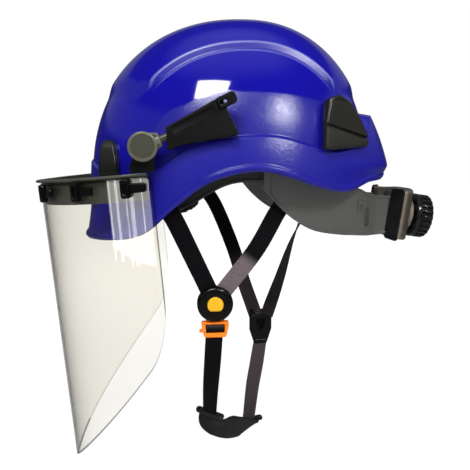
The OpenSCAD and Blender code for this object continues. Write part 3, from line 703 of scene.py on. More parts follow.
def shell_rows(angles, inset, counts):
    """Heights of the rows under the apex, with rows along the crown panel's edge and the rim band's top."""
    a = fold(angles)
    h = DOME_HEIGHT - inset

    def turn(z):
        return np.arccos(np.clip((z - BELT_Z) / h, 0, 1) ** (DOME_POWER / 2))

    _, py = plan(angles, SHELL_FRONT - inset, SHELL_REAR - inset, SHELL_HALF - inset)
    k = np.clip(CROWN_HALF / np.maximum(np.abs(py), 1), 0, 1)
    edge = BELT_Z + h * (1 - k ** DOME_POWER) ** (1 / DOME_POWER)
    band = curve(BAND_LINE, a)
    rim = curve(RIM_LINE, a)
    edge = np.maximum(edge, band + 22)
    rows = []
    for lo, hi, n, ends in ((0 * a, turn(edge), counts[0], 1.6), (turn(edge), turn(band), counts[1], None)):
        for f in np.linspace(0, 1, n + 1)[(1 if ends else 0):(None if ends is None else -1)]:
            f = 1 - (1 - f) ** ends if ends else 0.45 * f + 0.55 * smooth(f)
            rows.append(BELT_Z + h * np.cos(lo + (hi - lo) * f) ** (2 / DOME_POWER))
    for f in np.linspace(0, 1, counts[2] + 1)[1:]:
        f = 0.45 * f + 0.55 * smooth(f)
        rows.append(band + (rim - band) * f)
    return np.array(rows)


class HELMET_OT_shell(bpy.types.Operator):
    """Build the moulded shell with its crown panel, rim band and rolled rim"""
    bl_idname = "helmet.shell"
    bl_label = "Shell"

    def execute(self, context):
        look = context.scene.helmet_shell
        angles = -360.0 * np.arange(SHELL_COLUMNS) / SHELL_COLUMNS
        outer = shell_rows(angles, 0.0, OUTER_ROWS)
        inner = shell_rows(angles, SHELL_WALL, INNER_ROWS)[::-1]
        outside = [shell_surface(angles, z, 0.0, look) for z in outer]
        inside = [shell_surface(angles, z, SHELL_WALL, look) for z in inner]
        lip = []
        for turn in (30, 60, 90, 120, 150):
            t = math.radians(turn)
            middle, reach = (outside[-1] + inside[0]) / 2, (outside[-1] - inside[0]) / 2
            lip.append(middle + reach * math.cos(t) - UPWARD * LIP_DROP * math.sin(t))
        rings = np.array(outside + lip + inside)
        peak = BELT_Z + DOME_HEIGHT + CROWN_RISE
        m, n = rings.shape[:2]
        points = np.vstack([rings.reshape(-1, 3), [[SHELL_X, 0, peak]], [[SHELL_X, 0, peak - SHELL_WALL]]])
        top, bottom = m * n, m * n + 1
        faces = grid_faces(m, n)
        faces += [(top, i, (i + 1) % n)[::-1] for i in range(n)]
        faces += [((m - 1) * n + i, bottom, (m - 1) * n + (i + 1) % n) for i in range(n)]
        a = fold(angles)
        grain = [smooth((curve(GRAIN_LINE, a) - z) / 1.6 + 0.5) for z in outer]
        grain += [np.ones(n)] * (len(lip) + len(inside))
        grain = np.concatenate([np.concatenate(grain), [0, 1]])
        shell = make_mesh("helmet_shell", points, faces, shell_abs(look), {"grain": grain}, 60)
        keep(shell, "helmet", "shell_blue", "shell")
        return {"FINISHED"}


def on_shell(x, z, out=0.0):
    """Place on the left of the dome: X to the rear, Y up, Z out of the surface."""
    y = dome_y(x, z)
    a = SHELL_FRONT if x < SHELL_X else SHELL_REAR
    p = DOME_POWER - 1
    normal = unit([math.copysign((abs(x - SHELL_X) / a) ** p / a, x - SHELL_X),
                   -(y / SHELL_HALF) ** p / SHELL_HALF,
                   (max(z - BELT_Z, 0) / DOME_HEIGHT) ** p / DOME_HEIGHT])
    yaw, lean = math.atan2(normal[0], -normal[1]), math.asin(normal[2])
    turn = Matrix.Rotation(yaw, 4, "Z") @ Matrix.Rotation(math.pi / 2 - lean, 4, "X")
    return Matrix.Translation(Vector(np.array([x, -y, z]) + normal * out) * MM) @ turn


def front_clip_mesh(name, material):
    """Hooked wedge with a sharp upright ridge."""
    place = on_shell(-117, 41, SIDE_STEP / 2 - 0.5)
    rows = []
    # height, half width, ridge's place across, ridge's height, edges' height
    stations = [(-15, 12.5, -0.5, 9.0, 3.2), (-11, 12.3, -0.6, 9.4, 3.2), (-5, 11.2, -0.8, 9.6, 3.0),
                (1, 9.6, -1.2, 9.4, 2.8), (7, 7.2, -1.8, 8.6, 2.6), (11.5, 4.8, -2.2, 7.2, 2.4),
                (14, 2.8, -2.4, 4.8, 2.2), (15, 1.2, -2.4, 2.6, 1.6)]
    for y, half, mid, tall, side in stations:
        rows.append([(-half, y, -1.5), (-half, y, side), (mid - 0.9, y, tall), (mid + 0.5, y, tall),
                     (half, y, side), (half, y, -1.5)])
    piece = skin(name, rows, material, shade=25)
    piece.data.transform(place)
    return applied(bevel(piece, 0.7, 3, 20))


def rear_clip_mesh(name, material):
    """Five-sided clip with an upright ridge and a slot for a lamp's strap."""
    outline = rounded([(-29, -20), (22, -17.5), (25.5, -9), (16, 7), (4, 19), (-10, 24), (-19, 21.5),
                       (-25, 2)], (2.5, 4, 2, 14, 9, 4, 4, 6))
    place = on_shell(72, 66, 2)
    plate = extruded(name, outline, 11, material, None, round_off=1.6, segments=4)
    # The face folds about an upright ridge near its front edge
    for spot in plate.data.vertices:
        x = spot.co.x / MM
        if spot.co.z > 5 * MM:
            spot.co.z -= (max(-11 - x, 0) * 0.42 + max(x + 11, 0) * 0.1) * MM
    slot = cutter([(-34, 0.2), (34, -14.6), (34, -11.4), (-34, 3.6)], 8, material,
                  shift(0, 0, 4.6))
    cut(plate, slot)
    plate.data.transform(place)
    return plate


class HELMET_OT_clips(bpy.types.Operator):
    """Build the lamp clips at the front and the rear of the rim band"""
    bl_idname = "helmet.clips"
    bl_label = "Lamp clips"

    def execute(self, context):
        look = context.scene.helmet_shell
        # The edge colour is a painted highlight along the clips' corners and ridges
        nylon = moulded("glass_filled_nylon_satin", look.clip, 0.24, 0.9, 0.16, specular=0.4,
                        edge=linear("#35352E"))
        for build, slot in ((front_clip_mesh, "front_clip"), (rear_clip_mesh, "rear_clip")):
            keep_pair(build(slot + "_left_piece", nylon), slot, ("helmet",), "clip_olive")
        return {"FINISHED"}


# ---------------------------------------------------------------- headband and crown

HEAD_A, HEAD_B, BAND_WALL, BAND_HEIGHT = 98.1, 80.1, 2.2, 32.0
HEADBAND_END, SWEAT_REACH, SWEAT_THICK = 112.0, 62.0, 5.0
HEADBAND_LINE = [(0, -10), (50, -4), (78, 19), (96, 21), (112, 16)]
WING_LINE = [(8, -83.5, 16, 32), (20, -83.5, 2, 32), (34, -82, -10, 30), (52, -78, -20, 26),
             (75, -69, -25, 20), (98, -56, -28, 14), (110, -43.5, -30, 9), (119, -33.2, -31, 7),
             (129, -27.6, -31, 6), (139.5, -24.6, -30, 5)]
CROWN_Z, LUG_Z, LUG_DEPTH, LUG_GAP, LUG_HALF = 122.0, 46.0, 6.0, 3.8, 6.0
HANG_ANGLES = (32.0, 90.0, 128.0)
CRADLE_WIDTH, WEB_THICK = 20.0, 1.6


def band_point(angle, grow):
    a = np.radians(angle)
    return np.array([-(HEAD_A + grow) * np.cos(a), -(HEAD_B + grow) * np.sin(a)])


def band_edges(angle):
    low = curve(HEADBAND_LINE, fold(angle))
    tall = BAND_HEIGHT + (BAND_HEIGHT * 0.65 - BAND_HEIGHT) * smooth((fold(angle) - 30) / 40)
    return low, low + tall


def head_strip(name, reach, profile, material, steps):
    """A strip round the head; profile gives (outward, share of height, millimetres of height)."""
    rings = []
    for angle in np.linspace(reach, -reach, steps):
        low, high = band_edges(angle)
        ring = []
        for out, share, more in profile:
            x, y = band_point(angle, out)
            ring.append((x, y, low + (high - low) * share + more))
        rings.append(ring)
    return skin(name, rings, material)


SELVEDGE_TURNS = (0.8, 1.57, 2.34)


def ribbon(name, path, width, thick, side, material, painted_sheen=None):
    """Flat webbing with round selvedges along a path; side is the way its width points."""
    path = np.asarray(path, float)
    m = len(path)
    t = directions(path)
    side = np.array(side, float)
    if side.ndim == 1:
        s = np.tile(side, (m, 1))
    else:
        k = np.linspace(0, len(side) - 1, m)
        i = np.minimum(k.astype(int), len(side) - 2)
        s = side[i] + (side[i + 1] - side[i]) * (k - i)[:, None]
    h = unit(np.cross(t, s))
    w = unit(np.cross(h, t))
    steps = 8
    r = thick / 2
    reach = width / 2 - r
    flat = np.linspace(-1, 1, steps + 1) * reach
    selvedge = [(reach + r * math.sin(a), -r * math.cos(a)) for a in SELVEDGE_TURNS]
    section = np.array([(x, -r) for x in flat] + selvedge)
    section = np.concatenate([section, -section])
    rings = path[:, None] + w[:, None] * section[None, :, :1] + h[:, None] * section[None, :, 1:]
    run = lengths(path)
    weave_and_sheen = np.zeros((m, len(section), 3))
    weave_and_sheen[..., 0], weave_and_sheen[..., 1] = section[None, :, 0], run[:, None]
    # The third value is the share of painted sheen along the strap
    if painted_sheen is not None:
        weave_and_sheen[..., 2] = painted_sheen(run / run[-1])[:, None]
    return skin(name, rings, material, {"weave_and_sheen": weave_and_sheen.reshape(-1, 3)}, 60)


def lug_ring(angle):
    x, y = plan(np.array(float(angle)), SHELL_FRONT - SHELL_WALL, SHELL_REAR - SHELL_WALL,
                SHELL_HALF - SHELL_WALL)
    k = (1 - ((LUG_Z - BELT_Z) / DOME_HEIGHT) ** DOME_POWER) ** (1 / DOME_POWER)
    return np.array([float(x), float(y)]) * k


PAD_PRESSURE, PAD_FRAMES = 4.0, 20


def puffed(piece, voxel, cap):
    """Blows a pad up a little with a cloth simulation, so its cloth is drawn tight over the foam."""
    scene = bpy.context.scene
    tool = piece.modifiers.new("even", "REMESH")
    tool.mode, tool.voxel_size = "VOXEL", voxel * MM
    applied(piece)
    start = np.array([v.co[:] for v in piece.data.vertices])
    cloth = piece.modifiers.new("cloth", "CLOTH")
    cloth.settings.use_pressure, cloth.settings.uniform_pressure_force = True, PAD_PRESSURE
    cloth.settings.effector_weights.gravity = 0.0
    cloth.settings.quality = 4
    for step in range(1, PAD_FRAMES + 1):
        scene.frame_set(step)
        graph = bpy.context.evaluated_depsgraph_get()
    shape = piece.evaluated_get(graph).data
    end = np.array([v.co[:] for v in shape.vertices])
    piece.modifiers.clear()
    scene.frame_set(1)
    move = end - start
    far = np.linalg.norm(move, axis=1, keepdims=True)
    move = move * np.minimum(1, cap * MM / np.maximum(far, 1e-9))
    piece.data.vertices.foreach_set("co", (start + move).ravel())
    piece.data.update()
    finer = piece.modifiers.new("fine", "SUBSURF")
    finer.levels = finer.render_levels = 1
    applied(piece)
    piece.data.shade_smooth()
    return piece


class HELMET_OT_headband(bpy.types.Operator):
    """Build the headband, its sweatband and the nape wings"""
    bl_idname = "helmet.headband"
    bl_label = "Headband"

    def execute(self, context):
        look = context.scene.helmet_band
        grey = moulded("polypropylene_moulded", look.band, 0.42, 1.1, 0.2, specular=0.45)
        half = BAND_WALL / 2
        # The headband strip is the wings' grey painted darker: painted shade for the shadow inside the shell
        dark = moulded("polypropylene_moulded_painted_shade", [c * 0.4 for c in look.band], 0.38, 1.1, 0.15,
                       specular=0.35)
        band = head_strip("headband_strip", HEADBAND_END, [
            (-half, 0, 0.6), (-half + 0.6, 0, 0), (half + 0.5, 0, 0), (half + 0.9, 0, 0.5),
            (half + 0.9, 0, 2.2), (half, 0, 2.8), (half, 1, -2.8), (half + 0.9, 1, -2.2),
            (half + 0.9, 1, -0.5), (half + 0.5, 1, 0), (-half + 0.6, 1, 0),
            (-half, 1, -0.6)], dark, 120)
        keep(band, "helmet", "band_grey", "headband")
        cloth = knitted("polyester_knit_on_foam", look.foam, 1.3)
        inner, outer = -half - SWEAT_THICK - 0.3, -half - 0.3
        middle = (inner + outer) / 2
        ring = [(middle - SWEAT_THICK / 2 * signed_power(math.cos(a), 0.7) * 0.9,
                 0.5 + 0.5 * signed_power(math.sin(a), 0.35), 4 * math.sin(a))
                for a in np.radians(np.linspace(0, 360, 28, endpoint=False))]
        sweat = head_strip("sweatband_pad", SWEAT_REACH, ring, cloth, 80)
        puffed(sweat, 2.5, 0.8)
        keep(sweat, "helmet", "foam_black", "sweatband")
        left = self.wing("nape_wing_left_piece", grey)
        right = mirrored(left, "nape_wing_right_piece")
        for piece, node in ((left, "nape_wing_left"), (right, "nape_wing_right")):
            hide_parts(node)
            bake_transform(piece)
        return {"FINISHED"}

    def wing(self, name, material):
        """Broad strip from the shell to the ratchet, with a raised border, a slot and an embossed block."""
        line = route(WING_LINE, 14)
        run = directions(line[:, :2])
        out = np.stack([run[:, 1], -run[:, 0]], -1)
        rows = 30
        rings = []
        along = lengths(line[:, :2])
        for p, n, s in zip(line, out, along):
            tall = p[3] - p[2]
            ring = []
            for back in (False, True):
                for f in (np.linspace(1, 0, rows) if back else np.linspace(0, 1, rows)):
                    f = 0.5 * f + 0.5 * smooth(f)
                    z = p[2] + tall * f
                    edge = min(f, 1 - f) * tall
                    rim = ramp(np.array((2.8 - edge) / 0.6)) * 1.3 + ramp(np.array((6.2 - s) / 0.8)) * 1.3
                    depth = -BAND_WALL / 2 if back else BAND_WALL / 2 + min(rim, 1.3)
                    depth *= 1 - 0.5 * max(0, 1 - edge / 0.5)
                    ring.append((p[0] + n[0] * depth, p[1] + n[1] * depth, z))
            rings.append(ring)
        wing = skin(name, rings, material, shade=50)
        spot, way = np.array([109.4, -44.2, -12.5]), unit([0.66, 0.75, 0])
        facing = np.cross(way, [0, 0, 1])
        slot = cutter(box(-5.6, -9, 5.6, 9, 5.4), 12, material,
                      placed(spot - facing * 6, way, facing))
        cut(wing, slot)
        k = int(np.argmin(np.abs(line[:, 0] - 99)))
        mark = extruded("block", box(-4, -5, 4, 5, 1.2), 1.6, material,
                        placed((*(line[k, :2] + out[k] * 0.4), -1.5), (*run[k], 0), (*out[k], 0)),
                        round_off=0.4, holes=[rounded([(-2.2, -3), (2.2, -3), (0, 3)], 0.6)])
        return joined(name, [wing, mark])


class HELMET_OT_cradle(bpy.types.Operator):
    """Build the crown webbing, its hangers and the crown pad"""
    bl_idname = "helmet.cradle"
    bl_label = "Crown webbing"

    def execute(self, context):
        look = context.scene.helmet_band
        grey = bpy.data.materials["polypropylene_moulded"]
        # The lighter second colour is for painted sheen; the crown straps carry no share of it
        web = webbing("polyester_webbing_crown", look.webbing, [min(c * 1.6, 1) for c in look.webbing], 1.8)
        out = LUG_GAP + LUG_DEPTH + WEB_THICK / 2 + 1.6
        straps = []
        for k in range(3):
            far = -HANG_ANGLES[1] if k == 1 else -HANG_ANGLES[2 - k]
            ends = []
            for a in (HANG_ANGLES[k], far):
                ring = lug_ring(a)
                ends.append(unit(ring) * (np.linalg.norm(ring) - out) + [SHELL_X, 0])
            low = LUG_Z - LUG_HALF + 1
            rise = CROWN_Z + k * WEB_THICK * 0.8 - low
            steps = 80
            path = []
            for i in range(steps + 1):
                c = -math.cos(math.pi * i / steps)
                p = ends[0] + (ends[1] - ends[0]) * (c + 1) / 2
                path.append((p[0], p[1], low + rise * max(1 - abs(c) ** 2.6, 0) ** (1 / 2.6)))
            run = ends[1] - ends[0]
            straps.append(ribbon("strap", path, CRADLE_WIDTH, WEB_THICK, (run[1], -run[0], 0), web))
        cradle = joined("crown_webbing", straps)
        keep(cradle, "helmet", "web_grey", "crown_straps")
        cloth = bpy.data.materials["polyester_knit_on_foam"]
        top = CROWN_Z - WEB_THICK / 2 - 2
        pad = lathe("crown_pad_piece", [(0.5, top - 6.8), (10, top - 6.6), (17, top - 6), (21.5, top - 4.6),
                                        (23.2, top - 3.2), (23.2, top - 2), (21.5, top - 0.9),
                                        (17, top - 0.4), (8, top - 0.2), (0.5, top - 0.2)], cloth)
        puffed(pad, 2.0, 0.7)
        keep(pad, "helmet", "foam_black", "crown_pad")
        dress("suspension_hangers", grey, 0.3)
        dress("shell_lugs", grey, 0.6)
        return {"FINISHED"}


# ---------------------------------------------------------------- ratchet

RATCHET_X, RATCHET_Z, RATCHET_TILT = 116.0, -8.0, 8.0
HOUSING_R, HOUSING_THICK, HOUSING_HALF, HOUSING_TALL = 50.0, 15.0, 39.0, 52.0
KNOB_R, KNOB_LEN, KNOB_GRIPS, GRIP_STEEPNESS = 21.5, 18.0, 22, 2.2


def at_ratchet():
    return shift(RATCHET_X, 0, RATCHET_Z) @ Matrix.Rotation(math.radians(RATCHET_TILT), 4, "Y")


class HELMET_OT_ratchet(bpy.types.Operator):
    """Build the nape ratchet: housing, pad and knob"""
    bl_idname = "helmet.ratchet"
    bl_label = "Ratchet"

    def execute(self, context):
        look = context.scene.helmet_band
        # The edge colours are painted highlights along corners and the knob's grips
        taupe = moulded("nylon_moulded_taupe", look.housing, 0.4, 1.0, 0.25, edge=linear("#9A8C7A"))
        black = moulded("nylon_moulded_black", look.knob, 0.2, 0.8, 0.08, specular=0.4,
                        edge=linear("#2A2A2C"))
        metal = steel("zinc_plated_steel")
        inner, outer = HOUSING_R - HOUSING_THICK, HOUSING_R
        rings = []
        reach = math.degrees(math.asin(HOUSING_HALF / HOUSING_R))
        for angle in np.linspace(-reach, reach, 61):
            a = math.radians(angle)
            # The housing is taller behind the knob and drops at its ends
            tall = HOUSING_TALL / 2 - 3.0 * smooth(np.array(abs(angle) / reach)) * 0.9
            end = min(1.0, (reach - abs(angle)) / 4.5)
            shrink = 0.8 + 0.2 * math.sqrt(max(1 - (1 - end) ** 2, 0))
            mid, deep, high = (inner + outer) / 2, HOUSING_THICK / 2 * shrink, tall * (0.9 + 0.1 * shrink)
            section = box(mid - deep, -high, mid + deep, high, 3.2, 5)
            rings.append([(r * math.cos(a), r * math.sin(a), z) for r, z in section])
        housing = skin("ratchet_housing_piece", rings, taupe)
        pocket = cutter(box(-24.5, -14.5, 24.5, 14.5, 2), 24.6, taupe,
                        placed((17.4, 0, 0), (0, 1, 0), (1, 0, 0)))
        bore = lathe("bore", [(2.7, 20), (2.7, 70)], taupe, placed((0, 0, 0), (0, 1, 0), (1, 0, 0)), 32)
        cut(housing, pocket, bore)
        boss = lathe("boss", [(3.2, outer - 4), (15.5, outer - 4), (15.5, outer + 1.4), (14.9, outer + 2),
                              (3.2, outer + 2)], taupe, placed((0, 0, 0), (0, 1, 0), (1, 0, 0)), 64)
        caps = []
        for side in (-1, 1):
            # Black end plate on each end of the housing
            outline = rounded([(-8.2, -24), (5.8, -25.5), (5.8, 24.5), (-8.2, 23.5)], 3)
            a = math.radians(reach) * side
            spot = np.array([(inner + outer) / 2 * math.cos(a), (inner + outer) / 2 * math.sin(a), 0])
            out = np.array([-math.sin(a) * side, math.cos(a) * side, 0])
            caps.append(extruded("cap", outline, 2.6, black,
                                 placed(spot - out * 1.2, (math.cos(a), math.sin(a), 0), out),
                                 round_off=0.8))
        plates = joined("housing_end_plates", caps)
        housing = joined("ratchet_housing_piece", [housing, boss])
        housing.name = "ratchet_housing_piece"
        for piece, slot, nodes in ((housing, "ratchet_taupe", ["ratchet_housing"]),
                                   (plates, "black_nylon", [])):
            piece.data.transform(at_ratchet())
            keep(piece, "ratchet", slot, *nodes)
        self.knob(black)
        cloth = bpy.data.materials["polyester_knit_on_foam"]
        rings = []
        for angle in np.linspace(-27.5, 27.5, 31):
            a = math.radians(angle)
            section = box(inner - 2.6, -21, inner - 0.5, 21, 1.0, 4)
            rings.append([(r * math.cos(a), r * math.sin(a), z) for r, z in section])
        pad = skin("nape_pad_piece", rings, cloth)
        pad.data.transform(at_ratchet())
        puffed(pad, 1.6, 0.35)
        keep(pad, "ratchet", "foam_black", "nape_pad")
        for node in ("pawl_ring", "knob_shaft", "ratchet_pinion"):
            dress(node, metal, 0.15)
        for node in ("size_rack_left", "size_rack_right"):
            dress(node, bpy.data.materials["polypropylene_moulded"], 0.15)
        return {"FINISHED"}

    def knob(self, material):
        start = HOUSING_R + 3
        profile = [(5.2, 1.6), (KNOB_R - 3.2, 1.6), (KNOB_R - 1.0, 0.6), (KNOB_R - 0.2, 1.2), (KNOB_R, 2.2),
                   (KNOB_R, 5.2), (KNOB_R - 0.9, 6.2), (KNOB_R - 1.0, 7.2), (KNOB_R - 1.0, KNOB_LEN - 3.2),
                   (KNOB_R - 1.4, KNOB_LEN - 1.6), (KNOB_R - 2.6, KNOB_LEN - 0.5), (KNOB_R - 4.2, KNOB_LEN),
                   (KNOB_R - 7, KNOB_LEN - 0.3), (KNOB_R - 8, KNOB_LEN - 1.4),
                   (6, KNOB_LEN - 1.8), (2.9, KNOB_LEN - 1.6), (2.9, 1.6)]
        gripped = {6: 0.4, 7: 1.0, 8: 1.0, 9: 0.8, 10: 0.3}

        def grips(angles, k):
            ridge = np.clip(np.cos(angles * KNOB_GRIPS) * GRIP_STEEPNESS, -1, 1)
            return gripped.get(k, 0.0) * ridge

        place = at_ratchet() @ placed((start, 0, 0), (0, 1, 0), (1, 0, 0))
        knob = lathe("ratchet_knob_piece", profile, material, place, KNOB_GRIPS * 16, grips, 30)
        keep(knob, "knob", "black_nylon", "ratchet_knob")


# ---------------------------------------------------------------- visor arms

PIVOT_X, PIVOT_Z, ARM_GAP, FRAME_WALL = -89.0, 50.0, 12.0, 3.0
DISC_R, DISC_THICK, PIN_R, ROD_R, ROD_ANGLE = 11.5, 11.0, 3.0, 3.0, 22.0
ROD_WAY = (math.cos(math.radians(ROD_ANGLE)), 0, math.sin(math.radians(ROD_ANGLE)))
PLATE_X, PLATE_YAW, PLATE_THICK = 19.0, 6.5, 11.0
PIVOT_Y = dome_y(PIVOT_X, PIVOT_Z) + ARM_GAP
DISC_Y = PIVOT_Y + FRAME_WALL + 0.4
ROD_Y = DISC_Y + DISC_THICK / 2


def at_plate():
    turn = Matrix.Rotation(math.radians(-PLATE_YAW), 4, "Z") @ Matrix.Rotation(math.pi / 2, 4, "X")
    return Matrix.Translation(Vector((PIVOT_X + PLATE_X, -DISC_Y + 0.5, PIVOT_Z)) * MM) @ turn


class HELMET_OT_arms(bpy.types.Operator):
    """Build the arm plates, their latch clips and the pivot arms"""
    bl_idname = "helmet.arms"
    bl_label = "Visor arms"

    def execute(self, context):
        look = context.scene.helmet_visor
        black = moulded("nylon_moulded_matt_black", look.fittings, 0.4, 0.7, 0.3, specular=0.3)
        # The edge colour is a painted highlight along the arms' corners
        olive = moulded("nylon_moulded_olive", look.arms, 0.34, 1.4, 0.35, edge=linear("#7A7A68"))
        outline = rounded([(0, 14.5), (43, 38.5), (43.4, 35), (48.5, 24), (56, 9), (28, 4), (11, 1),
                           (1, -3.5)], (1.2, 1.2, 1, 3, 2, 12, 8, 1.5))
        plate = extruded("arm_plate_left_piece", outline, PLATE_THICK, black, None, round_off=1.0, segments=4)
        tilt = Matrix.Rotation(math.radians(26), 4, "Z")
        clip_slot = cutter([(0, 0), (13, 0), (13, 10), (0, 10)], 12, black,
                           shift(41, 27, PLATE_THICK - 5) @ tilt)
        groove = cutter([(0, 0), (36, 0), (36, 6), (0, 6)], 3, black,
                        shift(6, 9.5, PLATE_THICK - 1.2) @ tilt)
        place = at_plate()
        rod = lathe("rod", [(ROD_R + 0.25, 0), (ROD_R + 0.25, PLATE_X + 16)], black,
                    place.inverted() @ placed((PIVOT_X, -ROD_Y, PIVOT_Z), (0, 1, 0), ROD_WAY), 32)
        cut(plate, clip_slot, groove, rod)
        plate.data.transform(place)
        keep_pair(plate, "arm_plate", ("helmet",), "black_nylon")
        clip = extruded("latch_clip_left_piece", box(0, 0, 15, 9, (1, 3, 3, 1)), 6, black, None,
                        holes=[box(1.6, 3.2, 7.2, 5.8, 1.2)], round_off=0.7)
        clip.data.transform(place @ shift(41.6, 27.4, PLATE_THICK - 4.7) @ tilt)
        keep_pair(clip, "latch_clip", ("latch_left", "latch_right"), "black_nylon")
        keep_pair(self.arm(olive), "pivot_arm", ("visor_arms",), "arm_olive")
        end = FRAME_WALL + DISC_THICK - 1.2
        profile = [(PIN_R - 0.4, 0), (PIN_R, 0.4), (PIN_R, end - 0.4), (PIN_R - 0.4, end)]
        pin = lathe("pivot_pin_left_piece", profile, bpy.data.materials["zinc_plated_steel"],
                    placed((PIVOT_X, -PIVOT_Y, PIVOT_Z), (1, 0, 0), (0, -1, 0)), 32)
        keep_pair(pin, "pivot_pin", ("visor_arms",), "steel")
        return {"FINISHED"}

    def arm(self, material):
        r, t = DISC_R, DISC_THICK
        disc = lathe("disc", [(PIN_R + 0.05, 0.4), (r - 1.6, 0.0), (r - 0.5, 0.4), (r, 1.4), (r, t - 1.6),
                              (r - 0.5, t - 0.5), (r - 1.5, t), (r - 2.4, t - 0.05), (r - 2.9, t - 0.45),
                              (r - 6, t - 0.2), (0.3, t - 0.1)], material,
                     placed((PIVOT_X, -DISC_Y, PIVOT_Z), (1, 0, 0), (0, -1, 0)), 96)
        place = placed((PIVOT_X, -ROD_Y, PIVOT_Z), (0, 1, 0), ROD_WAY)
        reach = PLATE_X / ROD_WAY[0] + 5
        neck = lathe("neck", [(4.6, 8), (4.6, 14.0), (3.9, 14.8), (ROD_R, 15.0), (ROD_R, reach - 0.4),
                              (ROD_R - 0.4, reach)], material, place, 48)
        # Web between the disc and its neck
        web = extruded("web", rounded([(6, -7.2), (14.5, -5.0), (14.5, 5.4), (6, 9.2)], (1, 1.5, 2, 1)), 7.6,
                       material, placed((PIVOT_X, -DISC_Y - 1.7, PIVOT_Z), ROD_WAY, (0, -1, 0)),
                       round_off=1.4, segments=4)
        return joined("pivot_arm_left_piece", [disc, neck, web])


# ---------------------------------------------------------------- visor

VISOR_DROOP, ARC_BACK, ARC_REACH = 5.0, 6.0, 102.5
FRAME_LOW, FRAME_TOP, LIP_OUT, LIP_TALL = 41.5, -20.0, 5.0, 2.6
SHEET_TOP, VISOR_HEIGHT, VISOR_THICK, SHEET_GAP, SHEET_END = -23.6, 266.0, 1.2, 0.3, 89.0
LOCK_ANGLES = (-78, -55, -30, 30, 55, 78)
# The sheet's lower edge rises from its point by this share of its height, up to where its corners start
EDGE_RISE, EDGE_REACH, EDGE_POWER, CORNER_FROM, CORNER_TALL = 0.425, 82, 1.6, 80, 36
SHEET_COLUMNS, SHEET_ROWS, SHEET_CROWDING, SHEET_CORNER = 220, 70, 1.5, 6.0


def at_visor():
    return (shift(PIVOT_X, 0, PIVOT_Z) @ Matrix.Rotation(math.radians(-VISOR_DROOP), 4, "Y"))


def arc(u, grow):
    a = np.radians(u)
    return np.stack([ARC_BACK - (ARC_REACH + grow) * np.cos(a), -(PIVOT_Y + grow) * np.sin(a)], -1)


def sheet_low(u):
    a = np.abs(u)
    low = SHEET_TOP - VISOR_HEIGHT + VISOR_HEIGHT * EDGE_RISE * (a / EDGE_REACH) ** EDGE_POWER
    over = (a - CORNER_FROM) / (SHEET_END - CORNER_FROM)
    corner = CORNER_TALL * (1 - np.sqrt(np.maximum(1 - over ** 2, 0)))
    return np.where(a < CORNER_FROM, low, low + corner)


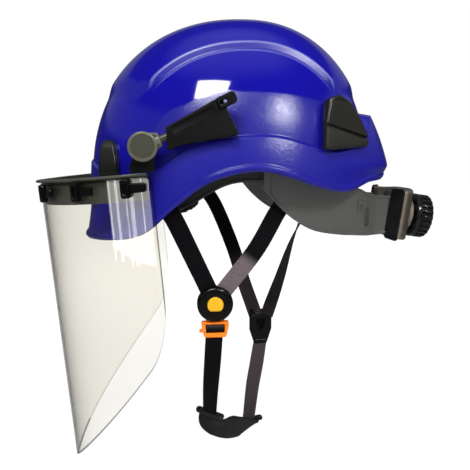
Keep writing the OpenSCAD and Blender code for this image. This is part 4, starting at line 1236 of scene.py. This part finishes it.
class HELMET_OT_visor(bpy.types.Operator):
    """Build the face shield: its sheet, brow frame, brackets and turn-locks"""
    bl_idname = "helmet.visor"
    bl_label = "Face shield"

    def execute(self, context):
        look = context.scene.helmet_visor
        black = bpy.data.materials["nylon_moulded_matt_black"]
        # The edge colour is a painted highlight along the brow frame's corners
        brow = moulded("nylon_moulded_grey", look.brow, 0.3, 1.2, 0.15, edge=linear("#55554C"))
        shiny = moulded("acetal_moulded_black", [c * 0.6 for c in look.fittings], 0.24, 0.8, 0.08,
                        specular=0.35)
        clear = polycarbonate("polycarbonate_sheet", look.tint)
        self.sheet(clear)
        self.brow_frame(brow)
        self.brackets(black)
        for k, angle in enumerate(LOCK_ANGLES, 1):
            self.lock(k, angle, shiny)
        return {"FINISHED"}

    def sheet(self, material):
        t = np.linspace(-1, 1, SHEET_COLUMNS)
        u = -SHEET_END * np.sin(t * SHEET_CROWDING) / math.sin(SHEET_CROWDING)
        low = sheet_low(u)
        side = np.radians(SHEET_END - np.abs(u)) * PIVOT_Y
        r = SHEET_CORNER
        nip = r - np.sqrt(np.maximum(r ** 2 - np.clip(r - side, 0, r) ** 2, 0))
        top = SHEET_TOP - nip
        # Rows crowd at both ends, so the painted shade along the edge stays narrow
        share = np.concatenate([[0, 0.01], np.linspace(0.02, 0.98, SHEET_ROWS - 4), [0.99, 1]])
        rings, edges = [], []
        for k in range(SHEET_COLUMNS):
            outer, inner = arc(u[k], FRAME_WALL + SHEET_GAP + VISOR_THICK), arc(u[k], FRAME_WALL + SHEET_GAP)
            z = low[k] + (top[k] - low[k]) * share
            near = np.minimum(np.minimum(z - low[k], top[k] - z), side[k])
            # Painted shade along the sheet's edges: full on the near side, faint on the far side
            rim = np.clip(1.3 - near / 0.9, 0, 1) * (1.0 if u[k] > -20 else 0.3)
            rings.append([(*outer, v) for v in z] + [(*inner, v) for v in z[::-1]])
            edges.append(np.concatenate([rim, rim[::-1]]))
        sheet = skin("visor_sheet_piece", rings, material, {"edge": np.concatenate(edges)}, 40)
        sheet.data.transform(at_visor())
        keep(sheet, "visor", "visor_clear", "visor_sheet")
        bpy.data.collections["clear_sheet"].objects.link(sheet)

    def brow_frame(self, material):
        w, lip = FRAME_WALL, FRAME_WALL + LIP_OUT
        low, top = -FRAME_LOW, FRAME_TOP
        section = rounded([(0, low), (w, low), (w, top - LIP_TALL), (lip, top - LIP_TALL + 0.5), (lip, top),
                           (0, top)], (0.8, 0.8, 1.0, 1.0, 1.0, 1.0), 4)
        rings = []
        for u in np.linspace(87, -87, 200):
            near_end = smooth(np.array((87 - abs(u)) / 12))
            ring = []
            for g, z in section:
                g = w + (g - w) * (0.35 + 0.65 * near_end) if g > w else g
                p = arc(u, g)
                ring.append((p[0], p[1], z))
            rings.append(ring)
        brow = skin("brow_frame_piece", rings, material, shade=35)
        brow.data.transform(at_visor())
        keep(brow, "visor", "black_nylon", "brow_frame")

    def brackets(self, material):
        hub, foot = 9.0, 9.5
        outline = circle(hub, 32, start=-20, end=215)
        outline += [(-foot - 3, FRAME_TOP + 6), (-foot - 3, FRAME_TOP + 0.4), (foot - 3, FRAME_TOP + 0.4),
                    (foot - 2.0, FRAME_TOP + 6)]
        left = extruded("visor_bracket_left_piece", outline, FRAME_WALL, material,
                        placed((0, -PIVOT_Y, 0), (1, 0, 0), (0, -1, 0)), holes=[circle(PIN_R + 0.06, 32)],
                        round_off=0.5)
        left.data.transform(at_visor())
        keep_pair(left, "visor_bracket", ("visor",), "black_nylon")

    def lock(self, k, u, material):
        p = arc(float(u), FRAME_WALL + SHEET_GAP + VISOR_THICK + SHEET_GAP)
        q = arc(u + 1.0, 0.0) - arc(u - 1.0, 0.0)
        place = at_visor() @ placed((p[0], p[1], FRAME_TOP - 11), (q[0], q[1], 0), (q[1], -q[0], 0))
        way = 1 if u > 0 else -1
        boss = lathe("boss", [(4, 0), (4, 2.2), (3.4, 2.8)], material, None, 40)
        grip = extruded("grip", box(-3.5, -7.5, 3.5, 7.5, 2.4), 5.5, material,
                        shift(0, 0, 1), round_off=1.1, segments=4, holes=[box(-1.0, -4.4, 1.0, 4.4, 0.95)])
        fill = extruded("fill", box(-2.4, -5.6, 2.4, 5.6, 2), 3.6, material,
                        shift(0, 0, 1.2), round_off=0.4)
        arm = extruded("arm", rounded([(0, -4), (16 * way, -3.4), (16 * way, 3.4), (0, 4)], 1.6), 3.6,
                       material, shift(0, 0, 0.7), round_off=0.9)
        lock = joined("visor_lock_%d_piece" % k, [grip, boss, fill, arm])
        lock.data.transform(place)
        keep(lock, "lock_%d" % k, "black_nylon", "visor_lock_%d" % k)


# ---------------------------------------------------------------- chin strap

BUCKLE_AT, BUCKLE_R, BUCKLE_THICK = np.array([-32.0, -74.0, -83.0]), 15.5, 10.0
DIVIDER_AT = np.array([27.0, 55.0, -144.0])
WEB_WIDTH = 15.0


def buckle_rim(angle):
    a = math.radians(angle)
    return tuple(BUCKLE_AT + (BUCKLE_R + 0.4) * np.array([math.sin(a), 0, math.cos(a)]))


FRONT_LEFT_SIDE, FRONT_RIGHT_SIDE, CUP_SIDE = (1, 0.1, 0.45), (1, -0.1, 0.4), (0.75, -0.65, 0)
# name, route and width's direction; each strap's share of painted sheen is given in the straps' builder
STRAPS = {
    "front_strap_left": ([(-84, -81, 24), (-76, -87, 8), (-66, -88, -8), (-54, -82, -34), buckle_rim(-24)],
                         FRONT_LEFT_SIDE),
    "rear_strap_left": ([(47, -76.5, 38), (39, -78, 24), (30, -79.6, 10), (20, -80.6, -4), (2, -80, -36),
                         buckle_rim(35)], [(1, 0.25, -0.6), (1, 0.2, -0.6), (1, 0, -0.6), (1, 0, -0.6)]),
    "front_strap_right": ([(-58, 90, 20), (-40, 92, 12), (-22, 88, -8), (-2, 80, -56), (10, 70, -96),
                           (18, 57, -120.6)], FRONT_RIGHT_SIDE),
    "rear_strap_right": ([(92, 64, 26), (89, 70, 8), (82, 79, -16), (66, 78, -52), (51, 71, -94),
                          (38, 56, -120.4)],
                         [(1, -0.55, 0), (1, -0.3, 0), (0.2, 1, 0.1), (0.8, 0.6, -0.3), (1, 0.15, -0.5)]),
    "lower_strap_left": ([(-33, -74, -113), (-34, -66, -138), (-35, -52, -168), (-35.2, -37.8, -197)],
                         [(1, 0, 0), CUP_SIDE]),
    "lower_strap_right": ([(26, 54, -164.9), (22, 50, -186), (17, 44, -208), (12.6, 38.4, -237.5)],
                          [(1, 0.14, 0), CUP_SIDE]),
}
CUP_ROUTE = [(-35, -36, -199), (-33, -33, -210), (-27, -23, -222), (-13, -5, -237), (1, 14, -247),
             (10, 28, -250), (13, 39, -244)]
CUP_SIDES = [(0.75, -0.65, 0), (0.7, -0.58, 0.42), (0.5, -0.42, 0.75), (0.48, -0.4, 0.78), (0.55, -0.45, 0.7),
             (0.75, -0.65, 0.2)]
CUP_WIDTH, CUP_THICK = 27.0, 4.0


class HELMET_OT_straps(bpy.types.Operator):
    """Build the chin webbing"""
    bl_idname = "helmet.straps"
    bl_label = "Chin webbing"

    def execute(self, context):
        look = context.scene.helmet_harness
        web = webbing("polyester_webbing_chin", look.web, look.painted_sheen, look.rib / MM)
        # Share of painted sheen along each strap: a lighter colour where the strap turns toward the light
        painted_sheen_shares = {
            "rear_strap_left": lambda t: 0.68 * smooth((t - 0.69) / 0.08),
            "front_strap_right": lambda t: 0.22 * smooth((t - 0.55) / 0.2),
            "rear_strap_right": lambda t: 0.10 + 0.1 * smooth((0.45 - t) / 0.2),
            "lower_strap_right": lambda t: 0.30 + 0 * t,
        }
        # How far each strap's ends run on into what holds them
        tucks = {"front_strap_left": (0, 2.5), "rear_strap_left": (0, 2.5), "front_strap_right": (0, 12),
                 "rear_strap_right": (0, 12), "lower_strap_right": (9, 7), "lower_strap_left": (0, 3)}
        for name, (points, side) in STRAPS.items():
            path = route(points, 24)
            before, after = tucks[name]
            if before:
                path = np.vstack([path[0] + unit(path[0] - path[1]) * before, path])
            path = np.vstack([path, path[-1] + unit(path[-1] - path[-2]) * after])
            strap = ribbon(name + "_piece", path, WEB_WIDTH, WEB_THICK, side, web, painted_sheen_shares.get(name))
            if name == "lower_strap_left":
                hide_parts(name)
                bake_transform(strap)
            else:
                keep(strap, "helmet", "web_black", name)
        dress("strap_anchors", bpy.data.materials["nylon_moulded_matt_black"], 0.4)
        return {"FINISHED"}


class HELMET_OT_buckle(bpy.types.Operator):
    """Build the release buckle, its button and tongue, and the strap divider"""
    bl_idname = "helmet.buckle"
    bl_label = "Buckle"

    def execute(self, context):
        look = context.scene.helmet_harness
        black = bpy.data.materials["acetal_moulded_black"]
        place = placed(BUCKLE_AT, (1, 0, 0), (0, -1, 0))
        half, r = BUCKLE_THICK / 2, BUCKLE_R
        body = lathe("buckle_body_piece", [(0.6, -half), (r - 1.4, -half), (r - 0.4, -half + 0.4),
                                           (r, -half + 1.4), (r, half - 3.0), (r - 0.5, half - 1.6),
                                           (r - 1.5, half - 0.6), (r - 2.8, half - 0.1), (r - 4.2, half),
                                           (r - 6.0, half - 0.1), (0.6, half - 0.1)], black, None, 128)
        shape = self.button_outline(0.25)
        well = cutter(shape, 9, black, shift(0, 0, half - 8))
        channel = extruded("channel", [(-8.5, -r - 1), (8.5, -r - 1), (8.5, -2), (-8.5, -2)], 4, black,
                           shift(0, 0, -half + 1), round_off=0.05, segments=1)
        cut(body, well, channel)
        body.data.transform(place)
        keep(body, "helmet", "black_nylon", "buckle_body")
        yellow = dimpled_acetal("acetal_dimpled_yellow", look.button)
        button = extruded("release_button_piece", self.button_outline(0), 3.6, yellow,
                          place @ shift(0, 0, half - 3), round_off=0.9, segments=4)
        keep(button, "button", "release_yellow", "release_button")
        self.tongue(look, place)
        dress("button_spring", bpy.data.materials["zinc_plated_steel"], 0)
        self.divider(black)
        return {"FINISHED"}

    def button_outline(self, grow):
        r = 7.0 + grow
        low = -5.5 - grow
        a = math.degrees(math.asin(low / r))
        return rounded(circle(r, 40, start=a, end=180 - a), 0.4, 2)

    def tongue(self, look, place):
        orange = moulded("acetal_moulded_orange", look.tongue, 0.32, 1.2, 0.12, 0.05)
        top = -BUCKLE_R + 3
        base = place @ shift(0, top, -BUCKLE_THICK / 2 + 1.25)
        back = base @ shift(0, 0, -0.6)
        prong = extruded("prong", box(-8.2, -3.2, 8.2, 3.4, 0.8), 3.4, orange, base,
                         round_off=0.5)
        plate = extruded("buckle_tongue_piece", rounded([(-12, -3.3), (12, -3.3), (11.6, -9), (9.6, -17),
                                                         (-9.6, -17), (-11.6, -9)],
                                                        (1.6, 1.6, 3, 2.5, 2.5, 3)), 5.4, orange, back,
                         holes=[box(-8.2, -5.0, 8.2, -13.4, 1.0)], round_off=0.9, segments=4)
        shoulder = extruded("shoulder", rounded([(-11.6, -3.2), (11.6, -3.2), (11, -5.4), (-11, -5.4)], 0.8),
                            6.2, orange, back, round_off=0.7)
        lip = extruded("lip", rounded([(-9.9, -13.2), (9.9, -13.2), (9.2, -17), (-9.2, -17)], 0.9), 6.6,
                       orange, back, round_off=0.9)
        bar = extruded("bar", box(-9, -8.2, 9, -10.4, 0.6), 2.4, orange, base, round_off=0.5)
        tab = extruded("tab", box(-13.6, -10.3, -10.5, -13.2, 0.8), 2.6, orange,
                       base @ shift(0, 0, 0.4), round_off=0.5)
        tongue = joined("buckle_tongue_piece", [plate, prong, shoulder, lip, bar, tab])
        keep(tongue, "tongue", "tongue_orange", "buckle_tongue")
        # Webbing turned over the tongue's bar
        web = bpy.data.materials["polyester_webbing_chin"]
        t = np.radians(np.linspace(-80, 260, 40))
        centre = base @ Vector((0, -9.2 * MM, 1.6 * MM)) / MM
        loop = [(centre[0], centre[1] - 3.1 * math.cos(a), centre[2] + 3.6 * math.sin(a)) for a in t]
        # A band of painted sheen partway round the roll
        roll = ribbon("tongue_webbing", loop, WEB_WIDTH + 0.8, 1.5, (1, 0, 0), web,
                      lambda f: 0.25 * np.exp(-((f - 0.42) / 0.12) ** 2))
        keep(roll, "tongue", "web_black")

    def divider(self, material):
        half, tall = 12.5, 39.0
        place = (Matrix.Translation(Vector(DIVIDER_AT) * MM) @ Matrix.Rotation(math.radians(8), 4, "Z")
                 @ Matrix.Rotation(math.pi / 2, 4, "X"))
        outline = rounded([(-half, tall / 2), (half, tall / 2), (half, -3), (7, -tall / 2), (-7, -tall / 2),
                           (-half, -3)], (3, 3, 4, 3, 3, 4))
        hole = rounded([(-5, tall / 2 - 11), (5, tall / 2 - 11), (0, -4)], 1.2)
        web = bpy.data.materials["polyester_webbing_chin"]
        knot = extruded("divider_webbing", rounded([(-7, 9), (7, 9), (3.5, -9), (-3.5, -9)], 1.5), 1.6, web,
                        place @ shift(0, 0, -0.8), round_off=0.5)
        keep(knot, "helmet", "web_black")
        plate = extruded("plate", outline, 4.4, material, place @ shift(0, 0, -2.2), holes=[hole],
                         round_off=1.4, segments=4)
        bars = [extruded("bar", rounded(points, 1.2), 6.4, material, place @ shift(0, 0, -3.2), round_off=1.2)
                for points in ([(-11.5, 17.5), (11.5, 17.5), (11.5, 13.5), (-11.5, 13.5)],
                               [(-7.5, -14), (7.5, -14), (6.8, -18), (-6.8, -18)])]
        keep(joined("strap_divider_piece", [plate, *bars]), "helmet", "black_nylon", "strap_divider")


class HELMET_OT_cup(bpy.types.Operator):
    """Build the chin cup"""
    bl_idname = "helmet.cup"
    bl_label = "Chin cup"

    def execute(self, context):
        look = context.scene.helmet_harness
        # The edge colour is a painted highlight along the cup's rims and corners
        rubber = moulded("thermoplastic_elastomer", look.cup, 0.5, 1.6, 0.35, 0.12, specular=0.4,
                         edge=linear("#35353A"))
        path = route(CUP_ROUTE, 16)
        m = len(path)
        t = directions(path)
        path[:, 2] += 6 * np.sin(np.pi * np.linspace(0, 1, m)) ** 2
        turns = np.linspace(0, len(CUP_SIDES) - 1, m)
        side = np.stack([np.interp(turns, range(len(CUP_SIDES)), axis) for axis in np.array(CUP_SIDES).T], -1)
        h = unit(np.cross(t, side))
        w = unit(np.cross(h, t))
        run = lengths(path)
        f = run / run[-1]
        rings = []
        for k in range(m):
            half = CUP_WIDTH / 2 * (0.86 + 0.34 * math.sin(math.pi * f[k]) ** 0.7)
            # The cup's middle is dished and its borders are thick
            dish = 3.0 * math.sin(math.pi * f[k]) ** 2
            section = []
            for x in np.linspace(-1, 1, 17):
                bead = 1.1 * float(np.exp(-((abs(x) - 0.93) / 0.07) ** 2))
                section.append((x * half, -CUP_THICK / 2 - bead * 0.6 + dish * (1 - x * x) * 0.25))
            for x in np.linspace(1, -1, 17):
                bead = 1.1 * float(np.exp(-((abs(x) - 0.93) / 0.07) ** 2))
                section.append((x * half, CUP_THICK / 2 + bead * 0.6 + dish * (1 - x * x) * 0.25 - 0.8))
            rings.append([path[k] + w[k] * a + h[k] * b for a, b in section])
        cup = applied(bevel(skin("cup", rings, rubber, shade=50), 0.8, 3, 50))
        # A flange with a strap slot at each end
        lips = []
        for k, way in ((0, -1), (-1, 1)):
            outline = box(-15.5, -3.2, 15.5, 3.2, 2.6)
            hole = box(-14.2, -1.2, -11.8, 1.2, 1.1)
            ahead = t[k] * way
            lips.append(extruded("lip", outline, 3.8, rubber, placed(path[k] - ahead * 3.0, w[k], ahead),
                                 holes=[hole], round_off=1.2))
        keep(joined("chin_cup_piece", [cup, *lips]), "helmet", "cup_black", "chin_cup")
        return {"FINISHED"}


# ---------------------------------------------------------------- studio

CAMERA_AT, CAMERA_AIM, CAMERA_LENS = (-0.06497, -0.55151, 0.04394), (-0.007, 0.0, -0.034), 43.75


# name, place, aim, width and height, watts, mirrored in gloss
LIGHTS = (
    ("window", (-0.34, -0.95, 1.20), (-0.030, -0.09, 0.090), (0.46, 0.36), 15, True),
    ("lamp", (0.52, -0.94, 0.74), (0.016, -0.10, 0.074), (0.17, 0.17), 6.6, True),
    ("front_softbox", (-1.2, -1.4, 0.6), (0, 0, -0.05), (0.9, 0.9), 7, False),
    ("top_softbox", (0.0, 0.2, 1.9), (0, 0, 0), (1.4, 1.0), 7, False),
    ("rear_softbox", (1.3, -1.0, 0.6), (0.05, 0, 0), (0.8, 0.8), 4, False),
    ("far_softbox", (0.5, 1.6, 0.6), (0, 0, -0.05), (1.2, 0.8), 9, False),
)
# A curtained window that only the clear sheet mirrors: a wide pane and brighter folds in its plane
CURTAINS = ((-1.10, 0.03, 0.3), (-0.97, 0.06, 0.5), (-0.80, 0.02, 0.25), (-0.70, 0.09, 0.7),
            (-0.48, 0.03, 0.3))
WINDOW_LIGHTS = (
    ("visor_window", (-0.78, -1.46, -0.12), (-0.11, -0.1, -0.02), (1.1, 0.5), 5.2),
    *(("visor_curtain_%d" % number, (x, -1.42 - (x + 0.72) * 0.84, -0.1), (-0.12, -0.1, -0.02), (wide, 0.56),
       power)
      for number, (x, wide, power) in enumerate(CURTAINS)),
)


def area_light(name, spot, aim, size, power, mirrored_in_gloss=True, only=None):
    data = bpy.data.lights.new(name, "AREA")
    data.shape, data.size, data.size_y = "RECTANGLE", size[0], size[1]
    data.energy = power
    lamp = bpy.data.objects.new(name, data)
    lamp.visible_glossy = mirrored_in_gloss
    if only is not None:
        lamp.light_linking.receiver_collection = only
    lamp.location = spot
    lamp.rotation_euler = (Vector(aim) - Vector(spot)).to_track_quat("-Z", "Y").to_euler()
    bpy.context.scene.collection.objects.link(lamp)
    return lamp


def ray_kinds(tree):
    """Outputs for what the camera sees, also through clear plastic, and for what gloss mirrors."""
    rays = add_node(tree, "ShaderNodeLightPath").outputs
    return math_node(tree, "MAXIMUM", rays["Is Camera Ray"],
                     rays["Is Transmission Ray"]), rays["Is Glossy Ray"]


class HELMET_OT_studio(bpy.types.Operator):
    """Build the floor, the lights, the world and the camera"""
    bl_idname = "helmet.studio"
    bl_label = "Studio"

    def execute(self, context):
        look = context.scene.helmet_studio
        scene = context.scene
        scene.view_settings.view_transform = "Standard"
        camera = bpy.data.objects.new("camera", bpy.data.cameras.new("camera"))
        camera.data.lens, camera.data.sensor_width, camera.data.clip_start = CAMERA_LENS, 36.0, 0.01
        camera.location = CAMERA_AT
        camera.rotation_euler = (Vector(CAMERA_AIM) - Vector(CAMERA_AT)).to_track_quat("-Z", "Y").to_euler()
        scene.collection.objects.link(camera)
        scene.camera = camera
        self.floor(look)
        self.world(scene)
        for light in LIGHTS:
            area_light(*light)
        sheet_only = bpy.data.collections.new("clear_sheet")
        for light in WINDOW_LIGHTS:
            area_light(*light, True, sheet_only)
        return {"FINISHED"}

    def floor(self, look):
        low = CAD_BOX[0][2] - look.floor_drop
        mesh = bpy.data.meshes.new("studio_floor")
        reach = 6.0
        mesh.from_pydata([(-reach, -reach, low), (reach, -reach, low), (reach, reach, low),
                          (-reach, reach, low)], [], [(0, 1, 2, 3)])
        floor = bpy.data.objects.new("studio_floor", mesh)
        bpy.context.scene.collection.objects.link(floor)
        material, tree = new_material("painted_board_matt")
        # Far from the helmet the board brightens into the backdrop, so no horizon shows
        place = add_node(tree, "ShaderNodeNewGeometry").outputs["Position"]
        away = add_node(tree, "ShaderNodeVectorMath", {0: place}, operation="LENGTH").outputs["Value"]
        rise = spread(tree, away, 0.85, 0.95, 0.4, 1.6, interpolation_type="SMOOTHSTEP")
        matt, shade = [add_node(tree, "ShaderNodeBsdfDiffuse",
                                {"Color": rgba([c * k for c in look.floor])}).outputs[0]
                       for k in (1.0, 0.22)]
        glow = add_node(tree, "ShaderNodeEmission", {"Color": (1, 1, 1, 1), "Strength": rise})
        both = add_node(tree, "ShaderNodeAddShader", {0: shade, 1: glow.outputs[0]}).outputs[0]
        seen, glossy = ray_kinds(tree)
        dim = either(tree, glossy, matt, shade)
        close_material(material, tree, either(tree, seen, dim, both))
        mesh.materials.append(material)

    def world(self, scene):
        """White at the horizon for what the camera and clear plastic see, and dimmer overhead for gloss."""
        world = bpy.data.worlds.new("studio_world")
        world.use_nodes = True
        scene.world = world
        tree = world.node_tree
        tree.nodes.clear()
        way = add_node(tree, "ShaderNodeTexCoord").outputs["Generated"]
        height = add_node(tree, "ShaderNodeSeparateXYZ", {"Vector": way}).outputs["Z"]
        zenith = spread(tree, height, 0.04, 0.45, 0.8, 1.0, interpolation_type="SMOOTHSTEP")
        # A row of far windows, a little above the helmet's height
        apart = math_node(tree, "ABSOLUTE", math_node(tree, "ADD", height, -0.4))
        row = spread(tree, apart, 0.2, 0.0, 0.1, 0.2, interpolation_type="SMOOTHSTEP")
        room = math_node(tree, "ADD", zenith, row)
        white, gloss, fill = [add_node(tree, "ShaderNodeBackground",
                                       {"Color": (1, 1, 1, 1), "Strength": strength})
                              .outputs[0] for strength in (1.0, room, 0.28)]
        seen, glossy = ray_kinds(tree)
        lit = either(tree, glossy, fill, gloss)
        add_node(tree, "ShaderNodeOutputWorld", {"Surface": either(tree, seen, lit, white)})


# ---------------------------------------------------------------- add-on

OPERATORS = (HELMET_OT_studio, HELMET_OT_shell, HELMET_OT_clips, HELMET_OT_headband, HELMET_OT_cradle,
             HELMET_OT_ratchet, HELMET_OT_arms, HELMET_OT_visor, HELMET_OT_straps, HELMET_OT_buckle,
             HELMET_OT_cup)
SETTINGS = {"helmet_shell": ShellSettings, "helmet_band": HeadbandSettings, "helmet_visor": VisorSettings,
            "helmet_harness": HarnessSettings, "helmet_studio": StudioSettings}


class HELMET_PT_panel(bpy.types.Panel):
    """Lists the helmet's builders and settings"""
    bl_idname = "HELMET_PT_panel"
    bl_label = "Helmet"
    bl_space_type = "VIEW_3D"
    bl_region_type = "UI"
    bl_category = "Helmet"

    def draw(self, context):
        for operator in OPERATORS:
            self.layout.operator(operator.bl_idname)
        for name, group in SETTINGS.items():
            settings = self.layout.box()
            for key in group.__annotations__:
                settings.prop(getattr(context.scene, name), key)


def register():
    for group in SETTINGS.values():
        bpy.utils.register_class(group)
    for name, group in SETTINGS.items():
        setattr(bpy.types.Scene, name, PointerProperty(type=group))
    for item in (*OPERATORS, HELMET_PT_panel):
        bpy.utils.register_class(item)


def unregister():
    for item in (HELMET_PT_panel, *OPERATORS[::-1]):
        bpy.utils.unregister_class(item)
    for name, group in SETTINGS.items():
        delattr(bpy.types.Scene, name)
        bpy.utils.unregister_class(group)


def main():
    register()
    for operator in OPERATORS:
        group, name = operator.bl_idname.split(".")
        getattr(getattr(bpy.ops, group), name)()


if __name__ == "__main__":
    main()
